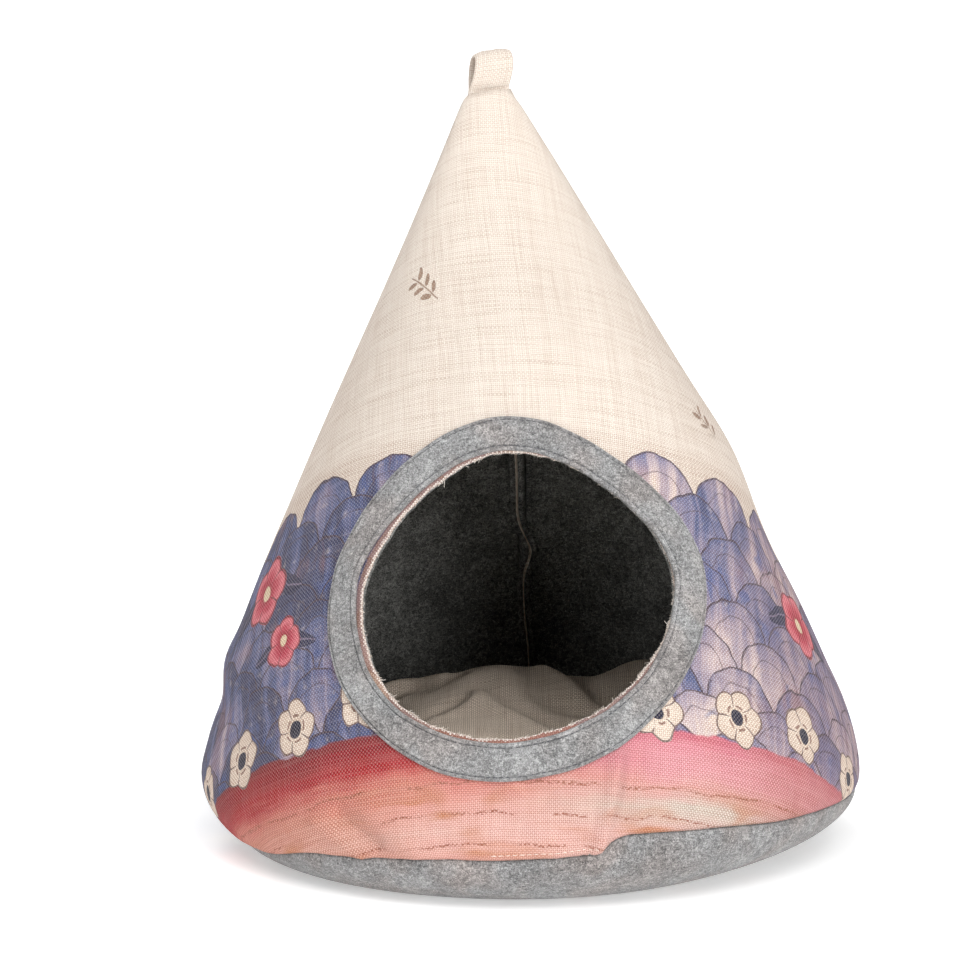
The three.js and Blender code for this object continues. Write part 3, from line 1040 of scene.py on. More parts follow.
    def sprigs(self, at: PaintPlace, under: object) -> NodeSocket:
        """Scatters small brown sprigs over the bare upper cloth.

        Args:
            at: The place and its washes.
            under: The colour below.

        Returns:
            The colour.
        """
        bench = at.bench
        column = at.side / self.sprig_cell + 0.37
        row = at.down / self.sprig_cell + 0.2
        chance = bench.chance(column.floor(), row.floor())
        other = bench.chance(column.floor() + 31.0, row.floor())
        x = (column.fract() - 0.5) * self.sprig_cell + (other - 0.5) * 22.0
        y = (row.fract() - 0.5) * self.sprig_cell + (chance * 9.0).fract() * 20.0 - 10.0
        angle = other * 5.0 - 1.2
        along = x * angle.math("SINE") + y * angle.math("COSINE")
        across = (x * angle.math("COSINE") - y * angle.math("SINE")).size()
        stem = across.ease(0.7, 0.35) * along.size().ease(15.0, 14.0)
        step = ((along + 14.0) / 8.0).fract() * 8.0 - 4.0
        lean = (across - 4.6) * 0.8 - step * 0.6
        rise = (across - 4.6) * 0.6 + step * 0.8
        leaf = ((lean / 4.4).math("POWER", 2.0) + (rise / 1.8).math("POWER", 2.0)).ease(1.1, 0.8)
        leaf = leaf * (along + 2.0).size().ease(12.4, 12.0)
        shown = chance.math("GREATER_THAN", 0.7) * at.down.ease(238.0, 226.0)
        mark = leaf.math("MAXIMUM", stem) * shown
        return bench.mix(mark * 0.9, under, bench.ramp(at.grain + 0.5, self.brown_stops))


@dataclass(frozen=True)
class LinenFinish:
    """Plain-woven linen with uneven threads, bare or printed."""

    name: str
    guide: ThreadGuide
    pitch: float
    body: Colour
    fleck: Colour
    shade: Colour
    hollow_shade_strength: float = 0.5
    design: PrintDesign | None = None

    def make(self) -> Material:
        """Builds the material.

        Returns:
            The material.
        """
        bench = Bench(self.name)
        x, y, _ = bench.places(self.guide)
        wander = bench.noise(bench.vector(x, y), 55.0, 1.0) - 0.5
        warp, weft = [part * (1000.0 / self.pitch) + wander * 1.2 for part in (x, y)]
        over = (warp.floor() + weft.floor()).math("FLOORED_MODULO", 2.0)
        warp_round, weft_round = [
            ((thread.fract() - 0.5) * 2.0).math("POWER", 2.0).flip() for thread in (warp, weft)
        ]
        warp_high = warp_round * (weft_round * 0.55 + 0.45)
        weft_high = weft_round * (warp_round * 0.55 + 0.45)
        height = bench.choose(over, weft_high, warp_high)
        warp_slub = bench.noise(bench.vector(warp * 0.9, weft * 0.035), 1.0, 2.0)
        weft_slub = bench.noise(bench.vector(warp * 0.035 + 60.0, weft * 0.9), 1.0, 2.0)
        slub = bench.choose(over, weft_slub, warp_slub)
        thread = bench.choose(over, bench.chance(3.0, weft.floor()), bench.chance(warp.floor(), 5.0))
        fleck = slub.ease(0.5, 0.74) * 0.42 + thread * thread * 0.3
        cloth = bench.mix(fleck, linear(*self.body), linear(*self.fleck))
        hollow_shade_strength = slub.ease(0.32, 0.68) * 0.6 + self.hollow_shade_strength
        relief: Value | float = 0.22
        if self.design is not None:
            side, down = x * 1000.0, y * -1000.0
            # Painted shade on the under-threads, stronger toward the cone's sides, where the light grazes.
            relief = side.size().ease(50.0, 170.0) * 0.2 + 0.14
            inked = self.design.paint(bench, side, down, cloth)
            taken = over.flip() * (thread * 0.12 + 0.08) + slub.ease(0.36, 0.5) * 0.04 + 0.82
            cloth = bench.mix(taken, cloth, inked)
            # Painted shade: a brown strip along the raw edge stands in for the band's shadow on the cloth.
            edge_shade_fray = self.read_shade_fray(bench)
            cloth = bench.mix(edge_shade_fray.ease(0.05, 0.3) * 0.75, cloth, linear(166, 134, 117))
            frayed = edge_shade_fray + slub * 0.5 + over * 0.14 - 0.32
            cloth = bench.mix(frayed.ease(0.7, 0.84) * 0.85, cloth, linear(240, 232, 224))
            # The painted hollow shade is stronger below the top of the blue scales.
            hollow_shade_strength = hollow_shade_strength * (down.ease(self.design.blue_top, self.design.blue_top + 8.0) * 0.85 + 1.0)
        # Painted shade in the weave's holes, low spots and under-threads, multiplied in with the shade
        # colour.
        hole = (warp_round.flip() * weft_round.flip()).ease(0.06, 0.5)
        hollow_shade = hole * 0.6 + height.ease(0.62, 0.12) * 0.22 + over.flip() * relief
        cloth = bench.mix(hollow_shade * hollow_shade_strength, cloth, linear(*self.shade), "MULTIPLY")
        normal = bench.bump(height + slub * 0.6, 0.34, 0.8)
        return bench.dress(cloth, normal, 0.92, 0.05)

    @staticmethod
    def read_shade_fray(bench: Bench) -> Value:
        """Reads how near a point lies to the raw edge, where the cloth takes a painted brown shade and frays
        cream.
        """
        return Value(bench, bench.node("ShaderNodeAttribute", {}, attribute_name=SHADE_FRAY_MAP).outputs["Fac"])


@dataclass(frozen=True)
class FeltFinish:
    """Mottled felt of pressed fibres."""

    name: str
    kind: Kind
    stops: Stops
    fuzz: float
    contrast: float
    warmth: float

    def make(self) -> Material:
        """Builds the material.

        Returns:
            The material.
        """
        bench = Bench(self.name)
        x, y, z = bench.places(ThreadGuide.PLAN)
        place = bench.vector(x, y, z)
        cloud = bench.noise(place, 42.0, 3.0, 0.4) - 0.5
        clump = bench.noise(place, 230.0, 3.0, 1.2) - 0.5
        fibre = bench.noise(place, 680.0, 3.0, 1.6) - 0.5
        hair = bench.noise(place, 1300.0, 2.0, 0.8) - 0.5
        dark = bench.noise(place, 760.0, 1.0, 0.4).ease(0.66, 0.76)
        lying = bench.noise(bench.vector(x * 150.0, y * 150.0, z * 900.0), 1.0, 2.0, 1.5)
        rising = bench.noise(bench.vector(x * 900.0, y * 900.0, z * 150.0), 1.0, 2.0, 1.5)
        strand = lying.math("MAXIMUM", rising) - 0.57
        tone = cloud * 0.36 + clump * 0.58 + fibre * 0.72 + hair * 1.0 + strand * 0.78
        tone = tone * self.contrast - dark * 0.3 + 0.52
        warm = bench.noise(place, 26.0, 2.0, 0.5).ease(0.38, 0.66) * self.warmth
        colour = bench.mix(warm, bench.ramp(tone, self.stops), linear(255, 244, 239), "MULTIPLY")
        relief = 0.9 if self.kind is Kind.OUTER else 1.2
        normal = bench.bump(clump * 0.5 + fibre * 0.8 + strand * 0.6, relief, 0.8)
        return bench.dress(colour, normal, 0.96, self.fuzz)


@dataclass(frozen=True)
class ThreadFinish:
    """Twisted sewing thread or loose yarn."""

    name: str
    dark: Colour
    light: Colour
    twist: float = 2400.0

    def make(self) -> Material:
        """Builds the material.

        Returns:
            The material.
        """
        bench = Bench(self.name)
        x, y, z = bench.places(ThreadGuide.PLAN)
        ply = ((x + y + z) * self.twist).math("SINE") * 0.5 + 0.5
        shade = bench.noise(bench.vector(x, y, z), 260.0, 2.0) * 0.6 + ply * 0.4
        colour = bench.ramp(shade, ((0.2, self.dark), (0.8, self.light)))
        return bench.dress(colour, bench.bump(ply, 0.12), 0.85, 0.2)


class Finishes:
    """All the finishes, made once."""

    def __init__(self) -> None:
        """Makes each material."""
        cream, fleck, shade = (233, 224, 213), (202, 182, 166), (184, 154, 138)
        self.printed = LinenFinish(
            "printed_linen", ThreadGuide.FLAT_CUT, 1.3, cream, fleck, shade, design=PrintDesign()
        ).make()
        self.plain = LinenFinish("strap_linen", ThreadGuide.FLAT_CUT, 1.3, cream, fleck, shade).make()
        # The cushion's weave takes a darker and stronger painted hollow shade.
        self.cushion = LinenFinish(
            "cushion_linen", ThreadGuide.PLAN, 1.3, (244, 230, 213), (198, 175, 154), (138, 112, 92), 1.0
        ).make()
        self.grey_felt = FeltFinish(
            "grey_felt",
            Kind.OUTER,
            ((0.05, (72, 72, 73)), (0.36, (118, 118, 118)), (0.6, (151, 151, 151)), (0.95, (199, 199, 199))),
            fuzz=0.25,
            contrast=1.25,
            warmth=0.7,
        ).make()
        # The band's own grey felt, painted darker as shade on the base.
        self.shaded_base_felt = FeltFinish(
            "shaded_base_felt",
            Kind.OUTER,
            ((0.05, (66, 66, 67)), (0.36, (110, 110, 110)), (0.6, (142, 142, 142)), (0.95, (188, 188, 188))),
            fuzz=0.25,
            contrast=1.3,
            warmth=1.0,
        ).make()
        self.dark_felt = FeltFinish(
            "dark_felt",
            Kind.INNER,
            ((0.05, (58, 58, 56)), (0.38, (104, 104, 101)), (0.62, (140, 140, 136)), (0.95, (198, 198, 194))),
            fuzz=0.15,
            contrast=1.6,
            warmth=0.0,
        ).make()
        self.grey_thread = ThreadFinish("grey_thread", (46, 48, 55), (88, 90, 100)).make()
        self.raw_thread = ThreadFinish("raw_linen_thread", (222, 204, 188), (250, 244, 236)).make()
        self.seam_thread = ThreadFinish("seam_linen_thread", (214, 194, 174), (250, 240, 226)).make()


# Pieces


@dataclass(frozen=True)
class Stitching:
    """One sewn line: sizes of its stitches in millimetres, and the seed that varies them."""

    length: float
    pitch: float
    radius: float
    seed: int

    def values(self, thread: Material) -> dict[str, object]:
        """Gives what the inputs of the stitch tree take."""
        sizes = {"Stitch Length": self.length, "Stitch Pitch": self.pitch, "Thread Radius": self.radius}
        return {**{key: size * MM for key, size in sizes.items()}, "Seed": self.seed, "Material": thread}


@dataclass(frozen=True)
class Fraying:
    """Loose threads on a raw edge: count, length in millimetres, spread, seed and share that lies inward."""

    count: int
    length: float
    spread: float
    seed: int
    inward: float
    radius: float = 0.14

    def values(self, thread: Material) -> dict[str, object]:
        """Gives what the inputs of the fray tree take."""
        sizes = {"Fray Length": self.length * MM, "Thread Radius": self.radius * MM, "Spread": self.spread}
        return {**sizes, "Count": self.count, "Seed": self.seed, "Material": thread}


@dataclass
class LinenCover:
    """The printed cone: one cut of linen closed by a seam up the back."""

    body: ConeBody
    columns: int = 396
    rows: int = 118
    thickness: float = 1.2
    setback: float = 0.0
    edge_samples: int = 1440
    edge_stride: int = 4
    door_window: tuple[float, float] = (130.0, 110.0)
    # How far in from the raw edge the painted brown shade and the cream fray reach; wider on the left.
    shade_fray_samples: int = 720
    shade_fray_window: float = 140.0
    shade_fray_reach: float = 3.4
    shade_fray_least: float = 1.8
    shade_fray_bias: float = 2.0
    hem_roll: float = 2.0
    hem_roll_reach: float = 2.2
    tip_roll: float = 0.7
    tip_roll_reach: float = 3.0
    tip_rise: float = 4.5
    tip_narrowing: float = 0.19
    hem_stitching: Stitching = Stitching(length=3.6, pitch=4.0, radius=0.22, seed=7)
    hem_thread_points: int = 60
    hem_thread_turns: tuple[float, float] = (-6.5, 10.0)
    hem_thread_rise: float = 4.2
    hem_thread_lift: float = 0.1
    seam_depth: float = 1.5
    seam_width: float = 1.6
    seam_fade: float = 16.0
    row_ease: float = 1.15

    def places(self) -> tuple[Array, Array]:
        """Spreads the points of the grid over the wall.

        Returns:
            The turn and the share of the outline of each point, row after row.
        """
        turn = even_turns(self.columns)
        foot = self.body.hem_along(turn)
        share = np.linspace(0, 1, self.rows) ** self.row_ease
        top = 1.0 + self.tip_rise / self.body.length
        along = foot[None, :] + (top - foot[None, :]) * share[:, None]
        return np.broadcast_to(turn, along.shape).ravel().copy(), along.ravel()

    def inset(self, turn: Array, along: Array) -> Array:
        """Gives how far the hem, the tip and the back seam draw the cloth in.

        Args:
            turn: Turns in degrees.
            along: Shares of the outline's length.

        Returns:
            Depths in millimetres.
        """
        above = (along - self.body.hem_along(turn)) * self.body.length
        hem = self.hem_roll * np.exp(-above / self.hem_roll_reach)
        tip = self.tip_roll * np.exp(-np.maximum(1.0 - along, 0.0) * self.body.length / self.tip_roll_reach)
        beside = np.radians(turn_between(turn, 180.0)) * self.body.outline(along)[0]
        seam = self.seam_depth * np.exp(-np.abs(beside) / self.seam_width)
        return hem + tip + seam * smooth(0.0, self.seam_fade, above)

    def build(self, finishes: Finishes) -> Object:
        """Builds the cloth with its doorway cut out.

        Args:
            finishes: The materials.

        Returns:
            The cover.
        """
        turn, along = self.places()
        faces = grid_faces(self.columns, self.rows, closed=True)
        faces, turn, along = self.cut_doorway(faces, turn, along)
        points = self.neck(self.body.wall(turn, along, self.inset(turn, along)), along)
        # Faces that cross the back seam lie on one side of the flat cut.
        corner_turn = turn[faces]
        crosses = np.ptp(corner_turn, axis=1, keepdims=True) > 180
        corner_turn = np.where(crosses & (corner_turn < 0), corner_turn + 360, corner_turn)
        uv = self.body.flat_place(corner_turn, along[faces]).reshape(-1, 2) * MM
        used, corners = number_anew(faces)
        obj = mesh_object("linen_cover", points[used], corners, finishes.printed, uv)
        edge_shade_fray = obj.data.attributes.new(SHADE_FRAY_MAP, "FLOAT", "POINT")
        edge_shade_fray.data.foreach_set("value", self.shade_fray_share(turn[used], along[used]).astype(np.float32))
        thicken(obj, self.thickness)
        return obj

    def neck(self, points: Array, along: Array) -> Array:
        """Draws the cloth past the outline's end up round the strap's foot.

        Args:
            points: Points of the cloth.
            along: Their shares of the outline, over 1 past its end.

        Returns:
            The points in millimetres.
        """
        rise = np.maximum(along - 1.0, 0.0) * self.body.length
        beside = points[:, :2] - np.array([self.body.sections[-1][2], self.body.settle_deep])
        share = rise / max(self.tip_rise, 1.0)
        drawn = points.copy()
        drawn[:, :2] -= beside * (self.tip_narrowing * share)[:, None]
        drawn[:, 2] += rise + share * beside[:, 0] * math.tan(math.radians(self.body.tip_slope))
        return drawn

    def hem_path(self) -> Array:
        """Follows the stretch of hem whose sewing thread shows on the outside.

        Returns:
            The path's points in millimetres.
        """
        turn = np.linspace(*self.hem_thread_turns, self.hem_thread_points)
        along = self.body.hem_along(turn) + self.hem_thread_rise / self.body.length
        return self.body.wall(turn, along, self.inset(turn, along) - self.hem_thread_lift)

    def shade_fray_share(self, turn: Array, along: Array) -> Array:
        """Gives how near the cloth lies to the raw edge, which sets a painted brown shade there and the cream
        fray.

        Args:
            turn: Turns in degrees.
            along: Shares of the outline's length.

        Returns:
            Shares from 0 to 1.
        """
        place = self.body.door_place(turn, along)
        angle = even_angles(self.shade_fray_samples)
        edge_turn, edge_along = self.body.door_edge(angle, self.body.raw_margin(angle))
        edge = self.body.door_place(edge_turn, edge_along)
        near = np.linalg.norm(place, axis=1) < self.shade_fray_window
        share = np.zeros(len(turn))
        away = np.linalg.norm(place[near][:, None, :] - edge[None], axis=2)
        reach = np.maximum(self.shade_fray_reach - self.shade_fray_bias * np.cos(angle), self.shade_fray_least)
        reach = reach[away.argmin(axis=1)]
        share[near] = 1 - np.clip(away.min(axis=1) / reach, 0, 1)
        return share

    def cut_doorway(self, faces: Array, turn: Array, along: Array) -> tuple[Array, Array, Array]:
        """Takes the doorway's faces out and draws the edge left onto its outline.

        Args:
            faces: The grid's faces.
            turn: Turns of its points.
            along: Shares of the outline of its points.

        Returns:
            The faces left and the moved places.
        """
        angle = even_angles(self.edge_samples)
        edge_turn, edge_along = self.body.door_edge(angle, self.body.raw_margin(angle) + self.setback)
        edge = self.body.door_place(edge_turn, edge_along)
        course = np.roll(edge, -1, axis=0) - np.roll(edge, 1, axis=0)
        outward = np.stack([course[:, 1], -course[:, 0]], axis=1)
        middle = self.body.door_place(turn[faces].mean(axis=1), along[faces].mean(axis=1))
        near = (np.abs(middle) < self.door_window).all(axis=1) & (np.ptp(turn[faces], axis=1) < 90)
        inside = np.zeros(len(faces), bool)
        gap = middle[near][:, None, :] - edge[None, :: self.edge_stride, :]
        closest = np.argmin((gap**2).sum(axis=2), axis=1) * self.edge_stride
        inside[near] = ((middle[near] - edge[closest]) * outward[closest]).sum(axis=1) < 0
        kept = faces[~inside]
        border = np.intersect1d(np.unique(kept), np.unique(faces[inside]))
        place = self.body.door_place(turn[border], along[border])
        nearest = np.argmin(((place[:, None, :] - edge[None]) ** 2).sum(axis=2), axis=1)
        turn[border] = edge_turn[nearest]
        along[border] = edge_along[nearest]
        return kept, turn, along


@dataclass(frozen=True)
class SeamLayer:
    """One upright layer of the seam allowance: its sides, its reach inward and how unevenly it was cut."""

    name: str
    left: float
    right: float
    reach: float
    ragged: float


@dataclass
class FeltLining:
    """The dark felt cone inside, with the seam allowance standing up its back."""

    body: ConeBody
    columns: int = 330
    rows: int = 100
    outer_inset: float = 1.9
    thickness: float = 2.6
    top_height: float = 431.0
    setback: float = 0.8
    seam_foot: float = 60.0
    seam_head: float = 420.0
    seam_kink_share: float = 0.296
    seam_kink_spread: float = 0.038
    seam_kink: float = 6.2
    seam_lean: float = 4.0
    seam_rows: int = 140
    seam_bury: float = 0.6
    seam_bevel: float = 0.9
    seam_splay: float = 0.35
    seam_taper: float = 0.1
    felt_layers: tuple[SeamLayer, ...] = (
        SeamLayer("seam_felt_left", left=-3.4, right=-0.75, reach=8.6, ragged=0.5),
        SeamLayer("seam_felt_right", left=0.75, right=3.4, reach=8.2, ragged=0.5),
    )
    linen_layer: SeamLayer = SeamLayer("seam_linen_edge", left=-0.45, right=0.45, reach=9.8, ragged=0.8)

    def build(self, finishes: Finishes) -> Object:
        """Builds the felt with its doorway.

        Args:
            finishes: The materials.

        Returns:
            The lining.
        """
        cover = LinenCover(self.body, self.columns, self.rows, setback=self.setback, tip_rise=0.0)
        turn, along = cover.places()
        foot = self.body.hem_along(turn)
        top = float(self.body.along_at(self.top_height))
        along = foot + (along - foot) / (1.0 - foot) * (top - foot)
        faces = grid_faces(self.columns, self.rows, closed=True)
        faces, turn, along = cover.cut_doorway(faces, turn, along)
        used, corners = number_anew(faces)
        points = self.body.wall(turn, along, self.outer_inset)[used]
        obj = mesh_object("felt_lining", points, corners, finishes.dark_felt)
        thicken(obj, self.thickness)
        return obj

    def strip(self, layer: SeamLayer, finish: Material) -> Object:
        """Builds one upright layer of the seam allowance.

        Args:
            layer: Its name and sizes.
            finish: Its material.

        Returns:
            The strip.
        """
        left, right, reach = layer.left, layer.right, layer.reach
        steps = np.linspace(0, 1, self.seam_rows)
        along = self.body.along_at(self.seam_foot + (self.seam_head - self.seam_foot) * steps)
        taper = smooth(0, self.seam_taper, steps) * smooth(0, self.seam_taper, 1 - steps)
        inner = self.outer_inset + self.thickness
        uneven = layer.ragged * ripple(steps, ((0.6, 61.0, left), (0.4, 143.0, right)))
        kink = self.seam_kink * bell((steps - self.seam_kink_share) / self.seam_kink_spread)
        lean = self.seam_lean * smooth(0.0, 0.09, steps - self.seam_kink_share)
        round_off = 0.25 * (right - left)
        section = (
            (-self.seam_bury, right),
            (reach - self.seam_bevel, right),
            (reach, right - round_off),
            (reach, left + round_off),
            (reach - self.seam_bevel, left),
            (-self.seam_bury, left),
        )
        rings = []
        for depth, sideways in section:
            share = np.clip(depth / reach, 0, 1)
            stands = 1 + (depth + uneven - 1) * taper if depth > 0 else depth
            point = self.body.wall(180.0, along, inner + stands)
            point[:, 0] += sideways * (1.0 + self.seam_splay * share) + (kink - lean) * taper * share
            rings.append(point)
        points = np.stack(rings, axis=1).reshape(-1, 3)
        return mesh_object(layer.name, points, tube_faces(len(section), self.seam_rows), finish)


@dataclass
class DoorBand:
    """The felt band sewn round the doorway, with its sewn grooves and frayed linen edge."""

    body: ConeBody
    outer_margin: float = 21.3
    outer_drop: float = 2.3
    inner_margin: float = 0.8
    # Waves hold their size, pace and phase; swells their angle, reach and size
    inner_waves: tuple[Triple, ...] = ((0.35, 4, 0.0), (0.25, 7, 0.0), (0.15, 19, 0.0))
    outer_waves: tuple[Triple, ...] = ((0.35, 4, 1.3), (0.25, 7, 2.6), (0.15, 19, 0.0))
    inner_swells: tuple[Triple, ...] = ((172.0, 20.0, 1.6), (97.0, 38.0, -1.7))
    outer_swells: tuple[Triple, ...] = ((202.0, 20.0, 2.4), (357.0, 27.0, 3.6), (100.0, 45.0, 1.7))
    thickness: float = 3.2
    face_swell: float = 0.22
    lift: float = 0.15
    groove_inner: float = 3.0
    groove_outer: float = 2.4
    groove_depth: float = 1.25
    groove_width: float = 0.5
    groove_rows: int = 17
    outer_roll: float = 1.2
    outer_roll_reach: float = 1.5
    sewn_margin: float = 6.0
    # Rows of the section: share of the band's width, offset in millimetres, share of its height
    inner_wall: tuple[Triple, ...] = (
        (1.0, -0.5, 0.0),
        (0.5, 0.0, 0.0),
        (0.0, 0.5, 0.0),
        (0.0, 0.0, 0.3),
        (0.0, 0.0, 0.62),
        (0.0, 0.35, 0.86),
    )
    outer_wall: tuple[Triple, ...] = ((1.0, -0.35, 0.86), (1.0, 0.0, 0.62), (1.0, 0.0, 0.3))
    middle_shares: tuple[float, float] = (0.36, 0.64)
    middle_rows: int = 6
    join_angle: float = -86.0
    join_depth: float = 0.5
    join_width: float = 1.3
    steps: int = 480
    stitching: Stitching = Stitching(length=3.1, pitch=3.8, radius=0.24, seed=3)
    thread_points: int = 720
    thread_lift: float = 0.1
    matted: Fraying = Fraying(count=1500, length=2.4, spread=0.3, seed=11, inward=0.08)
    loose: Fraying = Fraying(count=44, length=4.5, spread=0.25, seed=5, inward=0.2)
    raw_points: int = 900

    def edges(self, angle: Array) -> tuple[Array, Array]:
        """Gives the margins of the band's edges; it is cut narrower above than below.

        Args:
            angle: Angles round the doorway.

        Returns:
            Margins of the inner and the outer edge, in millimetres.
        """
        inner = np.full_like(angle, self.inner_margin)
        outer = self.outer_margin - self.outer_drop * np.sin(angle)
        for margin, swells in ((inner, self.inner_swells), (outer, self.outer_swells)):
            for turn, reach, size in swells:
                margin += size * bell(turn_between(np.degrees(angle), turn) / reach)
        return inner, outer

    def top_height(self, margin: Array, angle: Array) -> Array:
        """Gives the height of the band's face over the linen.

        Args:
            margin: Distance out from the doorway's outline.
            angle: Angle round the doorway.

        Returns:
            Heights in millimetres.
        """
        inner, outer = self.edges(angle)
        swell = self.face_swell * np.sin(angle * 5 + margin * 0.16) * np.sin(angle * 3.0 + 1.0)
        height = self.lift + self.thickness + swell
        for away in (margin - inner - self.groove_inner, outer - margin - self.groove_outer):
            height = height - self.groove_depth * bell(away / self.groove_width)
        height = height - self.outer_roll * np.exp(-np.maximum(outer - margin, 0.0) / self.outer_roll_reach)
        beside = np.radians(turn_between(np.degrees(angle), self.join_angle)) * self.body.door_half_rise
        return height - self.join_depth * bell(beside / self.join_width)

    def margin_wander(self, angle: Array, outer: bool) -> Array:
        """Gives how unevenly an edge of the band was cut, in millimetres."""
        return ripple(angle, self.outer_waves if outer else self.inner_waves)

    def spot(self, angle: Array, share: float, offset: float) -> Array:
        """Gives margins at a share of the band's width and an offset from there."""
        inner, outer = self.edges(angle)
        return inner + (outer - inner) * share + offset

    def build(self, finishes: Finishes) -> Object:
        """Builds the band.

        Args:
            finishes: The materials.

        Returns:
            The band.
        """
        angle = even_angles(self.steps)
        sewn = np.linspace(1.0, self.sewn_margin, self.groove_rows)
        profile = [*self.inner_wall]
        profile += [(0.0, float(offset), 1.0) for offset in sewn]
        profile += [(float(share), 0.0, 1.0) for share in np.linspace(*self.middle_shares, self.middle_rows)]
        profile += [(1.0, -float(offset), 1.0) for offset in sewn[::-1]]
        profile += self.outer_wall
        rings = []
        for share, offset, rise in profile:
            margin = self.spot(angle, share, offset)
            height = self.lift + (self.top_height(margin, angle) - self.lift) * rise
            uneven = self.margin_wander(angle, share > 0.5)
            turn, along = self.body.door_edge(angle, margin + uneven)
            rings.append(self.body.wall(turn, along, -height))
        points = np.stack(rings, axis=0).reshape(-1, 3)
        faces = grid_faces(self.steps, len(profile), closed=True, joined=True)
        return mesh_object("door_band", points, faces[:, ::-1], finishes.grey_felt)

    def groove_paths(self) -> list[Array]:
        """Follows the thread in the two sewn grooves.

        Returns:
            The inner and the outer path, as points in millimetres.
        """
        angle = even_angles(self.thread_points)
        paths = []
        for share, offset in ((0.0, self.groove_inner), (1.0, -self.groove_outer)):
            margin = self.spot(angle, share, offset)
            turn, along = self.body.door_edge(angle, margin + self.margin_wander(angle, share > 0.5))
            paths.append(self.body.wall(turn, along, -self.top_height(margin, angle) - self.thread_lift))
        return paths

    def raw_path(self, inward_share: float) -> tuple[Array, Array]:
        """Follows the linen's raw edge.

        Args:
            inward_share: How much of the threads' way leads into the doorway, not along its edge.

        Returns:
            The points in millimetres, and at each the way in which loose threads lie.
        """
        angle = even_angles(self.raw_points)
        margin = self.body.raw_margin(angle)
        edge = self.body.wall(*self.body.door_edge(angle, margin + 0.25), 0.55)
        deeper = self.body.wall(*self.body.door_edge(angle, margin - 5.0), 0.9)
        course = unit(np.roll(edge, -1, axis=0) - np.roll(edge, 1, axis=0))
        side = np.where(np.sin(angle * 37.0) > 0, 1.0, -1.0)[:, None]
        return edge, unit(deeper - edge) * inward_share + course * side


@dataclass
class FeltBase:
    """The felt floor: a flat disc that turns up round the foot to the hem."""

    body: ConeBody
    columns: int = 396
    floor_rows: int = 10
    foot_rows: int = 30
    thickness: float = 3.2
    rim_roll: float = 2.2
    rim_reach: float = 2.6

    def build(self, finishes: Finishes) -> Object:
        """Builds the felt dish.

        Args:
            finishes: The materials.

        Returns:
            The base.
        """
        turn = even_turns(self.columns)
        contact = self.body.widest_radius - self.body.foot_rounding - self.body.tuck_length(turn)
        rows = []
        for row in range(1, self.floor_rows + 1):
            radius = contact * row / self.floor_rows
            x = radius * np.sin(np.radians(turn))
            y = -radius * np.cos(np.radians(turn)) + self.body.settle_deep
            rows.append(np.stack([x, y, np.zeros(self.columns)], axis=-1))
        rim = self.body.hem_along(turn) - 0.3 / self.body.length
        for row in range(1, self.foot_rows + 1):
            share = 1 - (1 - row / self.foot_rows) ** 1.25
            below = rim * (1 - share) * self.body.length
            roll = self.rim_roll * np.exp(-below / self.rim_reach)
            rows.append(self.body.wall(turn, rim * share, roll))
        points = np.concatenate([*rows, np.array([[0.0, self.body.settle_deep, 0.0]])])
        faces = grid_faces(self.columns, len(rows), closed=True).tolist()
        middle = len(points) - 1
        faces += [[middle, (step + 1) % self.columns, step] for step in range(self.columns)]
        obj = mesh_object("felt_base", points, faces, finishes.shaded_base_felt)
        thicken(obj, self.thickness)
        return obj


@dataclass(frozen=True)
class Wrinkle:
    """A soft trough in the cushion's top along a bent line, or a ridge where its depth is below zero."""

    path: tuple[tuple[float, float], ...]
    width: float
    depth: float


